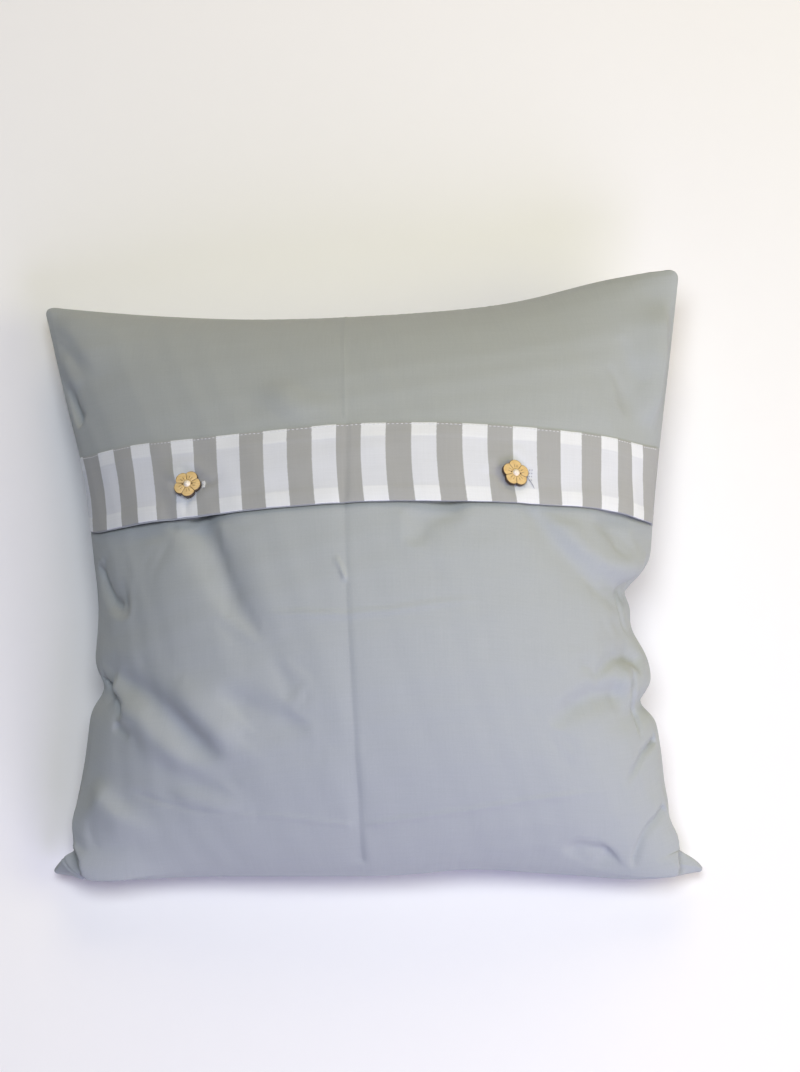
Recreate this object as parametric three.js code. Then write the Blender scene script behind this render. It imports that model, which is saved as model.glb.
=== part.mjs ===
// A filled cotton cushion cover that lies on its back. A flap buttons over its front, and a striped
// band is sewn along the flap's lower edge, with two wooden flower buttons that have pearl centres.
// Millimetres, +Z up. +Y runs over the floor from the cushion's lower edge to its top edge.
//
// A point of the cloth has two shares: a, from the left seam (0) to the right seam (1), and b, from
// the lower seam (0) to the top seam (1). Front and back meet at the seams.
import * as THREE from 'three';

// Sizes of the cover
const coverSide = 400;         // the sewn square, seam to seam
const frontCrown = 63;         // the front's rise above the seams
const backCrown = 80;          // the back's fall below the seams, before the floor flattens it
const floorRound = 14;         // how softly the back bends into its flat rest

// Sizes of the sheets that lie on the front
const sheetGap = 0.4;
const flapThickness = 1.5;
const bandThickness = 1.2;
const flapEdge = 0.59;         // share b of the flap's free lower edge
const bandTop = 0.715;         // share b of the band's upper edge
const flapTop = 0.985;         // share b where the flap meets the top seam
const flapSide = 0.012;        // share a that the flap and band leave free at the side seams

// Sizes of the buttons and their pearls
const buttonRadius = 8.4;
const buttonNotch = 1.7;       // how far the outline draws in between two petals
const petalFullness = 0.7;
const buttonThickness = 2.3;
const petalCount = 5;
const pearlRadius = 2.1;
const pearlHeight = 1.7;
const seatGap = 0.35;

// The form of the filled front. A fullness under 1 makes a crown rise steeply at the seams and
// level off, and a lean moves its top towards the right or the top edge.
const crownForm = { fullAcross: 0.7, fullAlong: 0.64, leanAcross: 0.06, leanAlong: 0.04 };
const drawIn = { across: 0.42, along: 0.3 };   // how far the weave draws together at the seams
const seamShare = 0.2;         // how far in from a seam its dents still show, as a share
const foldClearance = 18;      // folds die out over this distance from the seams
const sagFullness = 0.6;

// How closely the surfaces are divided
const columnCells = 36;
const lowerCells = 22;
const bandCells = 5;
const upperCells = 10;
const sideCrowding = 0.45;     // how much finer the cells are beside the side seams
const lowerCrowding = 0.25;    // and beside the lower seam
const domeRings = 5;
const domeSides = 14;
const petalSteps = 10;
const seatSamples = 24;

// The four corners of the seam. The lower two are drawn out into flat ears, the upper left one
// droops and the upper right one stands high.
const corners = {
  lowerLeft: { x: -197, y: -171, z: 12 },
  lowerRight: { x: 195, y: -173, z: 12 },
  upperLeft: { x: -211, y: 187, z: 26 },
  upperRight: { x: 187, y: 195, z: 56 },
};

// Each side bows off its straight line. start and end are that bow's size in the two halves, in x, y
// and z. A dent is a local fold of the seam: at and width are shares of the side.
const sides = {
  left: {
    from: corners.lowerLeft,
    to: corners.upperLeft,
    start: { x: 42, y: -26, z: 42 },
    end: { x: 20, y: 4, z: 24 },
    dents: [
      { at: 0.065, width: 0.03, x: 4, y: 0, z: 2 },
      { at: 0.335, width: 0.028, x: 7, y: 0, z: 0 },
      { at: 0.47, width: 0.09, x: 4, y: 0, z: 0 },
      { at: 0.66, width: 0.12, x: 4, y: 0, z: 0 },
    ],
  },
  right: {
    from: corners.lowerRight,
    to: corners.upperRight,
    start: { x: -40, y: -24, z: 38 },
    end: { x: -13, y: -8, z: 5 },
    dents: [
      { at: 0.06, width: 0.03, x: -7, y: 0, z: 0 },
      { at: 0.15, width: 0.05, x: -4, y: 0, z: 1 },
      { at: 0.305, width: 0.022, x: -8, y: 0, z: 0 },
      { at: 0.425, width: 0.045, x: -8, y: 0, z: 0 },
      { at: 0.492, width: 0.03, x: -12, y: 0, z: 0 },
    ],
  },
  lower: {
    from: corners.lowerLeft,
    to: corners.lowerRight,
    start: { x: 0, y: -6, z: 16 },
    end: { x: 0, y: -4, z: 16 },
    dents: [
      { at: 0.1, width: 0.09, x: 0, y: -4, z: 5 },
      { at: 0.65, width: 0.08, x: 0, y: 3, z: 2 },
      { at: 0.9, width: 0.09, x: 0, y: -5, z: 5 },
    ],
  },
  upper: {
    from: corners.upperLeft,
    to: corners.upperRight,
    start: { x: 0, y: -26, z: 24 },
    end: { x: 0, y: -27, z: 8 },
    dents: [
      { at: 0.88, width: 0.1, x: 0, y: 4, z: 0 },
    ],
  },
};

// The rows of the weave sag or rise across the front, in y, by these amounts
const sags = [
  { a: 0, y: 0 },
  { a: 0.08, y: -4 },
  { a: 0.2, y: -4 },
  { a: 0.4, y: 2 },
  { a: 0.55, y: 3 },
  { a: 0.7, y: 0 },
  { a: 0.8, y: -5 },
  { a: 0.92, y: -7 },
  { a: 1, y: 0 },
];

// The main folds of the front: a line from one pair of shares to another, its half-width in mm
// and its rise off the surface, which is below zero for a trough
const folds = [
  { name: 'trough under the left button', a0: 0.275, b0: 0.585, a1: 0.33, b1: 0.44, width: 17, rise: -6 },
  { name: 'that trough, running out', a0: 0.34, b0: 0.42, a1: 0.42, b1: 0.27, width: 18, rise: -4.5 },
  { name: 'deep trough from the left notch', a0: 0.05, b0: 0.375, a1: 0.2, b1: 0.335, width: 15, rise: -8 },
  { name: 'deep trough, running out', a0: 0.22, b0: 0.322, a1: 0.33, b1: 0.225, width: 15, rise: -7 },
  { name: 'ridge below the deep trough', a0: 0.06, b0: 0.325, a1: 0.3, b1: 0.215, width: 16, rise: 5 },
  { name: 'hollow below that ridge', a0: 0.17, b0: 0.245, a1: 0.4, b1: 0.15, width: 15, rise: -4 },
  { name: 'dimple at the left edge', a0: 0.04, b0: 0.54, a1: 0.1, b1: 0.48, width: 14, rise: -6 },
  { name: 'pinch at the left notch', a0: 0.035, b0: 0.34, a1: 0.085, b1: 0.305, width: 10, rise: -5 },
  { name: 'dent above the band, left', a0: 0.05, b0: 0.82, a1: 0.08, b1: 0.74, width: 16, rise: -4.5 },
  { name: 'hollow over the band', a0: 0.43, b0: 0.78, a1: 0.33, b1: 0.72, width: 18, rise: -3 },
  { name: 'ridge to the right notch', a0: 0.78, b0: 0.585, a1: 0.93, b1: 0.51, width: 14, rise: 4 },
  { name: 'hollow below that ridge', a0: 0.74, b0: 0.56, a1: 0.93, b1: 0.455, width: 14, rise: -4 },
  { name: 'curved trough, right', a0: 0.82, b0: 0.34, a1: 0.9, b1: 0.39, width: 11, rise: -4 },
  { name: 'bulge at the right edge', a0: 0.93, b0: 0.36, a1: 0.96, b1: 0.34, width: 14, rise: 5 },
  { name: 'diagonal fold, right', a0: 0.79, b0: 0.275, a1: 0.95, b1: 0.325, width: 10, rise: -4 },
  { name: 'slope of the upper right', a0: 0.86, b0: 0.73, a1: 0.93, b1: 0.82, width: 16, rise: -4 },
  { name: 'tuck at the lower right', a0: 0.78, b0: 0.03, a1: 0.9, b1: 0.06, width: 14, rise: -5 },
];

// The two buttons: their place, the angle of one petal, and the lean of the face off the cloth
const buttons = [
  { name: 'left', a: 0.252, b: 0.638, petal: -10, leanX: 0.1, leanY: 0.05 },
  { name: 'right', a: 0.718, b: 0.636, petal: 22, leanX: 0.06, leanY: 0.06 },
];
const dimpleDepth = 4;
const dimpleWidth = 17;

const clothGrey = { color: 0xa6acb2, roughness: 0.92, metalness: 0 };
const stripedCloth = { color: 0xc6c9cd, roughness: 0.92, metalness: 0 };
const woodTan = { color: 0xd2a964, roughness: 0.6, metalness: 0 };
const pearlCream = { color: 0xf2e9d8, roughness: 0.25, metalness: 0 };

// A point of one side of the seam at the share t, with or without its dents
function sidePoint(side, t, dented) {
  const arch = 4 * t * (1 - t);
  const point = new THREE.Vector3().lerpVectors(side.from, side.to, t);
  const bow = new THREE.Vector3().lerpVectors(side.start, side.end, t);
  point.addScaledVector(bow, arch);
  if (dented) {
    const nearEnds = Math.min(1, arch * 6);   // no dent moves a corner
    for (const dent of side.dents) {
      const reach = Math.exp(-(((t - dent.at) / dent.width) ** 2)) * nearEnds;
      point.addScaledVector(new THREE.Vector3(dent.x, dent.y, dent.z), reach);
    }
  }
  return point;
}

// Cloth climbs steeply at the seams, so its shares draw together there
function spread(t, amount) {
  return t + amount * ((1 - Math.cos(Math.PI * t)) / 2 - t);
}

// One at a seam, falling to nothing a little way in
function seamReach(t) {
  return Math.max(0, 1 - t / seamShare) ** 2;
}

// The sheet that the four seams span: an even one inside, which takes each seam's dents near it
function seamSheet(a, b) {
  const u = spread(a, drawIn.across);
  const v = spread(b, drawIn.along);
  const point = new THREE.Vector3();
  const edges = [
    { side: sides.left, even: v, true: b, weight: 1 - u, reach: seamReach(a) },
    { side: sides.right, even: v, true: b, weight: u, reach: seamReach(1 - a) },
    { side: sides.lower, even: u, true: a, weight: 1 - v, reach: seamReach(b) },
    { side: sides.upper, even: u, true: a, weight: v, reach: seamReach(1 - b) },
  ];
  for (const edge of edges) {
    point.addScaledVector(sidePoint(edge.side, edge.even, false), edge.weight - edge.reach);
    point.addScaledVector(sidePoint(edge.side, edge.true, true), edge.reach);
  }
  point.addScaledVector(corners.lowerLeft, -(1 - u) * (1 - v));
  point.addScaledVector(corners.lowerRight, -u * (1 - v));
  point.addScaledVector(corners.upperLeft, -(1 - u) * v);
  point.addScaledVector(corners.upperRight, -u * v);
  return point;
}

// A hump over the shares 0 to 1, full or lean as the two numbers say
function hump(t, fullness, lean) {
  const leaned = t - lean * Math.sin(Math.PI * t);
  return Math.max(0, Math.sin(Math.PI * leaned)) ** fullness;
}

// The crown's share of its full height: nothing at the seams, one near the middle
function crownShare(a, b) {
  const across = hump(a, crownForm.fullAcross, crownForm.leanAcross);
  const along = hump(b, crownForm.fullAlong, crownForm.leanAlong);
  return across * along;
}

// The sag of the weave at the share a, smoothly through the table's rows
function sagAt(a) {
  let row = 0;
  while (row < sags.length - 2 && a > sags[row + 1].a) {
    row += 1;
  }
  const low = sags[row];
  const high = sags[row + 1];
  return THREE.MathUtils.lerp(low.y, high.y, THREE.MathUtils.smoothstep(a, low.a, high.a));
}

// The front before its folds
function plainFront(a, b) {
  const point = seamSheet(a, b);
  point.y += sagAt(a) * hump(b, sagFullness, 0);
  point.z += frontCrown * crownShare(a, b);
  return point;
}

// How far the folds and the button dimples lift the front at a point
function foldRise(a, b) {
  let rise = 0;
  for (const fold of folds) {
    const start = new THREE.Vector3(fold.a0, fold.b0, 0).multiplyScalar(coverSide);
    const end = new THREE.Vector3(fold.a1, fold.b1, 0).multiplyScalar(coverSide);
    const spot = new THREE.Vector3(a, b, 0).multiplyScalar(coverSide);
    const nearest = new THREE.Line3(start, end).closestPointToPoint(spot, true, new THREE.Vector3());
    rise += fold.rise * Math.exp(-((spot.distanceTo(nearest) / fold.width) ** 2));
  }
  for (const button of buttons) {
    const reach = Math.hypot(a - button.a, b - button.b) * coverSide;
    rise -= dimpleDepth * Math.exp(-((reach / dimpleWidth) ** 2));
  }
  const inFromSeam = Math.min(a, 1 - a, b, 1 - b) * coverSide;
  return rise * THREE.MathUtils.smoothstep(inFromSeam, 0, foldClearance);
}

// The outward direction of a surface given as a function of the two shares
function outward(surface, a, b) {
  const step = 0.004;
  const low = (share) => Math.max(0, share - step);
  const high = (share) => Math.min(1, share + step);
  const alongA = surface(high(a), b).sub(surface(low(a), b));
  const alongB = surface(a, high(b)).sub(surface(a, low(b)));
  return alongA.cross(alongB).normalize();
}

// The body's front, with its folds
function frontPoint(a, b) {
  return plainFront(a, b).addScaledVector(outward(plainFront, a, b), foldRise(a, b));
}

// A point above the body's front by the given height
function overFront(a, b, height) {
  return frontPoint(a, b).addScaledVector(outward(frontPoint, a, b), height);
}

// The body's back, bent into one flat face where it lies on the floor
function backPoint(a, b) {
  const point = seamSheet(a, b);
  const share = crownShare(a, b);
  const hanging = Math.max(0, point.z - backCrown * share);
  point.z = hanging * hanging / Math.max(hanging + floorRound * share, 0.001);
  return point;
}

// Shares from start to end in so many cells, finer at the ends by the crowding
function shareLine(start, end, cells, crowding) {
  const shares = [];
  for (let cell = 0; cell <= cells; cell += 1) {
    const even = cell / cells;
    const crowded = even - crowding * Math.sin(2 * Math.PI * even) / (2 * Math.PI);
    shares.push(start + (end - start) * crowded);
  }
  return shares;
}

const columns = [0, ...shareLine(flapSide, 1 - flapSide, columnCells, sideCrowding), 1];
const lowerRows = shareLine(0, flapEdge, lowerCells, lowerCrowding);
const bandRows = shareLine(flapEdge, bandTop, bandCells, 0);
const upperRows = shareLine(bandTop, flapTop, upperCells, 0);

// The places round the rim of a grid, anticlockwise from its first corner
function rimOf(wide, tall) {
  const rim = [];
  for (let i = 0; i < wide - 1; i += 1) {
    rim.push([i, 0]);
  }
  for (let j = 0; j < tall - 1; j += 1) {
    rim.push([wide - 1, j]);
  }
  for (let i = wide - 1; i > 0; i -= 1) {
    rim.push([i, tall - 1]);
  }
  for (let j = tall - 1; j > 0; j -= 1) {
    rim.push([0, j]);
  }
  return rim;
}

// A closed solid between an upper and a lower surface on one grid of shares. Where the two share
// their rim, the rim points are used once and no wall is made.
function solidBetween(rowShares, columnShares, upper, lower, sharedRim) {
  const wide = columnShares.length;
  const tall = rowShares.length;
  const positions = [];
  const above = (i, j) => j * wide + i;
  const belowOf = [];
  const below = (i, j) => belowOf[above(i, j)];
  for (let j = 0; j < tall; j += 1) {
    for (let i = 0; i < wide; i += 1) {
      positions.push(...upper(columnShares[i], rowShares[j]).toArray());
    }
  }
  for (let j = 0; j < tall; j += 1) {
    for (let i = 0; i < wide; i += 1) {
      const onRim = i === 0 || j === 0 || i === wide - 1 || j === tall - 1;
      if (sharedRim && onRim) {
        belowOf.push(above(i, j));
      } else {
        belowOf.push(positions.length / 3);
        positions.push(...lower(columnShares[i], rowShares[j]).toArray());
      }
    }
  }

  const faces = [];
  for (let j = 0; j < tall - 1; j += 1) {
    for (let i = 0; i < wide - 1; i += 1) {
      // the diagonal runs towards the cushion's nearest corner, so that no corner is a flat fin
      const leftHalf = columnShares[i] + columnShares[i + 1] < 1;
      const lowerHalf = rowShares[j] + rowShares[j + 1] < 1;
      const places = [[i, j], [i + 1, j], [i + 1, j + 1], [i, j + 1]];
      if (leftHalf !== lowerHalf) {
        places.push(places.shift());
      }
      const top = places.map((place) => above(...place));
      const under = places.map((place) => below(...place));
      faces.push(top[0], top[1], top[2], top[0], top[2], top[3]);
      faces.push(under[0], under[2], under[1], under[0], under[3], under[2]);
    }
  }
  if (!sharedRim) {
    const rim = rimOf(wide, tall);
    rim.forEach((here, step) => {
      const next = rim[(step + 1) % rim.length];
      faces.push(above(...here), below(...here), below(...next));
      faces.push(above(...here), below(...next), above(...next));
    });
  }
  const geometry = new THREE.BufferGeometry();
  geometry.setAttribute('position', new THREE.Float32BufferAttribute(positions, 3));
  geometry.setIndex(faces);
  return geometry;
}

function named(name, geometry, finish) {
  const mesh = new THREE.Mesh(geometry, new THREE.MeshStandardMaterial(finish));
  mesh.name = name;
  return mesh;
}

// The filled body: the back panel and the lower front panel, which runs on under the flap
function coverBody() {
  const rows = [...lowerRows, ...bandRows.slice(1), ...upperRows.slice(1), 1];
  return named('cover_body', solidBetween(rows, columns, frontPoint, backPoint, true), clothGrey);
}

// A sheet on the front between two heights, from one row of the weave to another
function sheetOnFront(name, rows, height, thickness, finish) {
  const sheetColumns = columns.slice(1, -1);
  const upper = (a, b) => overFront(a, b, height + thickness);
  const lower = (a, b) => overFront(a, b, height);
  return named(name, solidBetween(rows, sheetColumns, upper, lower, false), finish);
}

const flapHeight = sheetGap;
const bandHeight = flapHeight + flapThickness + sheetGap;
const buttonHeight = bandHeight + bandThickness;

// The flower outline of a button, with rounded petals and a narrow notch between each two
function flowerShape(petalAngle) {
  const points = [];
  const steps = petalCount * petalSteps;
  for (let step = 0; step < steps; step += 1) {
    const angle = 2 * Math.PI * step / steps;
    const petal = Math.abs(Math.cos(petalCount * (angle - petalAngle) / 2)) ** petalFullness;
    const radius = buttonRadius - buttonNotch * (1 - petal);
    points.push(new THREE.Vector2(radius * Math.cos(angle), radius * Math.sin(angle)));
  }
  return new THREE.Shape(points);
}

// The button's own axes: its face turned from the cloth's outward direction by its lean
function buttonFrame(button) {
  const origin = overFront(button.a, button.b, buttonHeight);
  const face = outward(plainFront, button.a, button.b);
  face.x += button.leanX;
  face.y += button.leanY;
  face.normalize();
  const right = new THREE.Vector3(1, 0, 0).addScaledVector(face, -face.x).normalize();
  const up = new THREE.Vector3().crossVectors(face, right);
  return new THREE.Matrix4().makeBasis(right, up, face).setPosition(origin);
}

// How far a button moves out along its axis so that its back just clears the band
function seatLift(button, frame) {
  const toButton = frame.clone().invert();
  const reach = 1.6 * buttonRadius / coverSide;   // shares that surely hold the whole button
  const nearby = shareLine(-reach, reach, seatSamples, 0);
  let highest = 0;
  for (const da of nearby) {
    for (const db of nearby) {
      const spot = overFront(button.a + da, button.b + db, buttonHeight).applyMatrix4(toButton);
      if (Math.hypot(spot.x, spot.y) < buttonRadius) {
        highest = Math.max(highest, spot.z);
      }
    }
  }
  return highest + seatGap;
}

// One flower button and the pearl dome at its middle
function buttonAndPearl(button) {
  const frame = buttonFrame(button);
  frame.multiply(new THREE.Matrix4().makeTranslation(0, 0, seatLift(button, frame)));
  const petalAngle = THREE.MathUtils.degToRad(button.petal);
  const flower = new THREE.ExtrudeGeometry(flowerShape(petalAngle), {
    depth: buttonThickness,
    bevelEnabled: false,
  });
  const disc = named(`button_${button.name}`, flower, woodTan);
  disc.applyMatrix4(frame);
  const profile = [new THREE.Vector2(0, 0)];
  for (let ring = 0; ring < domeRings; ring += 1) {
    const angle = Math.PI / 2 * ring / domeRings;
    profile.push(new THREE.Vector2(pearlRadius * Math.cos(angle), pearlHeight * Math.sin(angle)));
  }
  profile.push(new THREE.Vector2(0, pearlHeight));
  const dome = new THREE.LatheGeometry(profile, domeSides);
  dome.rotateX(Math.PI / 2);
  const pearl = named(`pearl_${button.name}`, dome, pearlCream);
  pearl.position.z = buttonThickness + seatGap;
  pearl.updateMatrix();
  pearl.applyMatrix4(frame);
  return [disc, pearl];
}

// The whole cushion, moved so that the middle of its box is over the origin
function cushion() {
  const group = new THREE.Group();
  const flapRows = [...bandRows, ...upperRows.slice(1)];
  group.add(coverBody());
  group.add(sheetOnFront('upper_flap', flapRows, flapHeight, flapThickness, clothGrey));
  group.add(sheetOnFront('striped_band', bandRows, bandHeight, bandThickness, stripedCloth));
  for (const button of buttons) {
    group.add(...buttonAndPearl(button));
  }
  const middle = new THREE.Box3().setFromObject(group).getCenter(new THREE.Vector3());
  group.position.set(-middle.x, -middle.y, 0);
  return group;
}

export default cushion();
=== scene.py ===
# Filled cotton cushion cover with a buttoned flap, a striped band and two flower buttons.
# It lies on its back on a pale floor, seen from above and a little below its lower edge.
import math

import bpy
import numpy as np
from mathutils import Matrix, Vector


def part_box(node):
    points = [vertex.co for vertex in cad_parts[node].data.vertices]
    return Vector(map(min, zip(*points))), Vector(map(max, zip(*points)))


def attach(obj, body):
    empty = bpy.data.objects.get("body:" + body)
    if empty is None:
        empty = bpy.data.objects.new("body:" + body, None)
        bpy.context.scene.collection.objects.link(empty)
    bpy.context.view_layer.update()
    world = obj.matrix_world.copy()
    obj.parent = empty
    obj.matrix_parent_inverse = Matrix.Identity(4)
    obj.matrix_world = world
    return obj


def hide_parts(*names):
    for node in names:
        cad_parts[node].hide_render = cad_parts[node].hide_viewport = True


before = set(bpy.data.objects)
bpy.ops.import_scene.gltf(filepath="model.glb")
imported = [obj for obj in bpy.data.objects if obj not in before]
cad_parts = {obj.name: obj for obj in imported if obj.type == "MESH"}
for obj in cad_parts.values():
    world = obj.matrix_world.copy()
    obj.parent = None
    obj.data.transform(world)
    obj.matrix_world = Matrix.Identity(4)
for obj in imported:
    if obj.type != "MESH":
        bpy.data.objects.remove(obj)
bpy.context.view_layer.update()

mm = 0.001

# A point of the cloth has two shares: a runs from the left seam to the right one, and b from the
# lower seam to the top one. All lengths below are in mm until a mesh is made.
cover = {
    "side": 400.0,            # the sewn square, seam to seam
    "frontCrown": 63.0,       # rise of the front over the seams
    "backCrown": 80.0,        # fall of the back under them, before the floor flattens it
    "floorRound": 14.0,
    "fullness": (0.70, 0.64),  # of the crown, across and along
    "lean": (0.06, 0.04),
    "sagFullness": 0.6,
    "drawIn": (0.42, 0.30),   # how far the weave draws together at the seams
    "seamShare": 0.2,         # how far in the seam's dents still show
    "foldClearance": 12.0,    # folds die out over this distance from a seam
    "fill": 0.8,
    "cells": 270,             # of the finished mesh, each way
    "cornerRadius": (4.0, 8.0),   # of the sewn corners, lower and upper
}

corners = {
    "lowerLeft": (-197, -171, 12),
    "lowerRight": (195, -173, 12),
    "upperLeft": (-211, 187, 26),
    "upperRight": (187, 195, 56),
}

# Each side's bow off its straight line in the two halves, and its dents: at, width, x, y, z
sides = {
    "left": {
        "ends": ("lowerLeft", "upperLeft"),
        "bow": ((42, -26, 42), (20, 4, 24)),
        "dents": [
            (0.062, 0.036, 9, 0, 1),
            (0.335, 0.028, 7, 0, 0),
            (0.470, 0.090, 4, 0, 0),
            (0.660, 0.120, 4, 0, 0),
        ],
    },
    "right": {
        "ends": ("lowerRight", "upperRight"),
        "bow": ((-40, -24, 38), (-13, -8, 5)),
        "dents": [
            (0.044, 0.024, -8, 0, 0),
            (0.090, 0.035, -6, 0, 0),
            (0.150, 0.050, -3, 0, 1),
            (0.305, 0.022, -8, 0, 0),
            (0.435, 0.045, -11, 0, 0),
            (0.490, 0.028, -12, 0, 0),
        ],
    },
    "lower": {
        "ends": ("lowerLeft", "lowerRight"),
        "bow": ((0, -6, 16), (0, -4, 16)),
        "dents": [
            (0.100, 0.090, 0, -4, 5),
            (0.650, 0.080, 0, 3, 2),
            (0.900, 0.090, 0, -5, 5),
        ],
    },
    "upper": {
        "ends": ("upperLeft", "upperRight"),
        "bow": ((0, -26, 24), (0, -27, 8)),
        "dents": [
            (0.880, 0.100, 0, 4, 0),
        ],
    },
}

# How far the rows of the weave sag or rise: share a, y
sags = [
    (0, 0), (0.04, -5.6), (0.1, -8.0), (0.16, -7.2), (0.24, -4.4), (0.33, -0.6), (0.42, 2.6),
    (0.52, 4.7), (0.62, 3.3), (0.72, -0.2), (0.82, -5.2), (0.9, -6.8), (0.95, -5.6), (1, 0),
]

# Folds and creases, a row for each: a line of points, the rise at its two ends, the reach on the
# left and right of the line's direction, and the roundness of its crest, all in mm but for the
# points' shares. The last pair are the shares of its length over which it rises from nothing and
# falls back
foldColumns = ("line", "rise", "reach", "crest", "ends")
usualEnds = (0.25, 0.25)


def foldTable(rows):
    # each row's values under the names of the columns
    return {name: dict(zip(foldColumns, row)) for name, row in rows.items()}


lowerFolds = foldTable({
    "under the left button": (
        [(0.246, 0.626), (0.262, 0.590), (0.275, 0.560), (0.288, 0.530), (0.300, 0.500), (0.313, 0.465),
         (0.335, 0.432), (0.364, 0.398), (0.396, 0.350)],
        (-7.0, -4.6), (12, 17), 5, (0.13, 0.5)),
    "left of the button": (
        [(0.222, 0.612), (0.200, 0.590), (0.170, 0.560), (0.142, 0.530), (0.115, 0.512)],
        (-2.4, -2.4), (14, 28), 7, (0.4, 0.5)),
    "long left trough": (
        [(0.010, 0.372), (0.078, 0.376), (0.128, 0.366), (0.186, 0.334), (0.228, 0.296), (0.267, 0.263),
         (0.305, 0.226)],
        (-5.2, -4.6), (11, 15), 3, (0.3, 0.22)),
    "long left ridge": (
        [(0.050, 0.358), (0.140, 0.318), (0.200, 0.272), (0.259, 0.232), (0.302, 0.206)],
        (4.2, 3.0), (13, 10), 5, (0.05, 0.3)),
    "short middle trough": (
        [(0.279, 0.357), (0.318, 0.326), (0.370, 0.301), (0.416, 0.280), (0.458, 0.259)],
        (-3.0, -2.6), (9, 10), 5, (0.3, 0.4)),
    "ridge past the long trough": (
        [(0.150, 0.385), (0.215, 0.347), (0.258, 0.311), (0.296, 0.269), (0.325, 0.225)],
        (3.0, 4.8), (17, 9), 4, (0.5, 0.3)),
    "second left trough": (
        [(0.136, 0.246), (0.184, 0.234), (0.250, 0.204), (0.315, 0.172), (0.373, 0.154)],
        (-2.6, -2.6), (9, 9), 6, (0.45, 0.5)),
    "low left ridge": (
        [(0.179, 0.229), (0.231, 0.193), (0.284, 0.161), (0.329, 0.144), (0.386, 0.133)],
        (2.0, 1.2), (9, 6), 4, (0.45, 0.5)),
    "lowest left ridge": (
        [(0.030, 0.190), (0.082, 0.165), (0.144, 0.132), (0.206, 0.113)],
        (5.4, 3.2), (12, 25), 4, (0.25, 0.5)),
    "left dimple": (
        [(0.020, 0.535), (0.036, 0.509), (0.058, 0.489), (0.090, 0.480), (0.120, 0.482)],
        (-3.0, -4.2), (19, 7), 3, (0.05, 0.2)),
    "left pinch": (
        [(0.018, 0.356), (0.045, 0.350), (0.066, 0.341), (0.090, 0.322)],
        (-3.6, -3.0), (6, 9), 2, (0.05, 0.1)),
    "right of the middle": (
        [(0.652, 0.616), (0.622, 0.590), (0.590, 0.562), (0.557, 0.526), (0.543, 0.492)],
        (-4.0, -2.8), (11, 16), 5, (0.25, 0.5)),
    "ridge to the right notch": (
        [(0.742, 0.626), (0.765, 0.598), (0.786, 0.575), (0.812, 0.555), (0.843, 0.539), (0.880, 0.527),
         (0.925, 0.519), (0.990, 0.510)],
        (2.8, 5.2), (14, 8), 3, (0.15, 0.04)),
    "hollow under it": (
        [(0.728, 0.626), (0.751, 0.596), (0.770, 0.569), (0.795, 0.547), (0.826, 0.526), (0.863, 0.514),
         (0.911, 0.504), (0.990, 0.496)],
        (-1.4, -3.8), (8, 14), 4, (0.15, 0.04)),
    "dip over the notch": (
        [(0.862, 0.616), (0.890, 0.592), (0.912, 0.576), (0.945, 0.558)],
        (-3.2, -2.4), (12, 14), 8, (0.4, 0.5)),
    "right arc": (
        [(0.858, 0.352), (0.868, 0.374), (0.885, 0.388), (0.912, 0.396), (0.950, 0.394),
         (0.985, 0.372)],
        (-2.0, -4.5), (9, 6), 2, (0.15, 0.05)),
    "right bulge": (
        [(0.915, 0.366), (0.945, 0.352)],
        (2.5, 2.5), (8, 8), 4, (0.3, 0.3)),
    "lower right trough": (
        [(0.751, 0.263), (0.782, 0.294), (0.814, 0.323), (0.853, 0.339), (0.895, 0.343),
         (0.945, 0.330)],
        (-4.6, -6.2), (8, 11), 3, (0.4, 0.2)),
    "tuck at the lower right": (
        [(0.765, 0.046), (0.800, 0.066), (0.838, 0.060), (0.870, 0.028)],
        (-3.0, -3.0), (5, 18), 4, (0.3, 0.3)),
})

upperFolds = foldTable({
    "upper right hollow": (
        [(0.860, 0.734), (0.972, 0.844)],
        (-4.8, -5.4), (40, 18), 6, (0.45, 0.4)),
    "upper left ridge": (
        [(0.014, 0.985), (0.049, 0.948), (0.088, 0.895), (0.115, 0.836)],
        (2.6, 3.4), (45, 11), 5, (0.25, 0.45)),
    "upper left lobe": (
        [(0.020, 0.900), (0.036, 0.864), (0.056, 0.824)],
        (1.2, 1.2), (10, 8), 4),
    "dent over the band": (
        [(0.012, 0.850), (0.024, 0.806), (0.036, 0.768)],
        (-2.4, -3.8), (12, 6), 2, (0.3, 0.1)),
    "shade over the band": (
        [(0.385, 0.738), (0.408, 0.764), (0.436, 0.797)],
        (2.6, 2.4), (13, 40), 8, (0.45, 0.5)),
    "ridge by the right seam": (
        [(0.958, 0.728), (0.964, 0.790), (0.970, 0.850), (0.972, 0.900), (0.972, 0.960)],
        (8.0, 5.5), (24, 9), 5, (0.3, 0.3)),
})

buttonSpots = {
    "left": {"a": 0.252, "b": 0.638, "petal": -10, "lean": (0.22, 0.05)},
    "right": {"a": 0.7155, "b": 0.636, "petal": 22, "lean": (0.17, 0.06)},
}
dimple = {"depth": 4.0, "width": 17.0}

# Where the lower folds end at the flap's free edge, in shares b. All fade out over the first
# stretch in the large form, and the troughs run on as fine form as far as the second one
hem = {"foldsFade": (0.570, 0.592), "troughsFade": (0.594, 0.625)}


def smoothStep(x, low, high):
    # three squares less two cubes of the share from low to high
    s = np.clip((x - low) / (high - low), 0, 1)
    return s * s * (3 - 2 * s)


def hump(t, fullness, lean):
    # a sine over 0 to 1, its top moved by the lean, to the power of the fullness
    return np.sin(np.pi * (t - lean * np.sin(np.pi * t))).clip(0) ** fullness


def spread(t, amount):
    # between the share itself and half of one minus its cosine
    return t + amount * ((1 - np.cos(np.pi * t)) / 2 - t)


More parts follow.
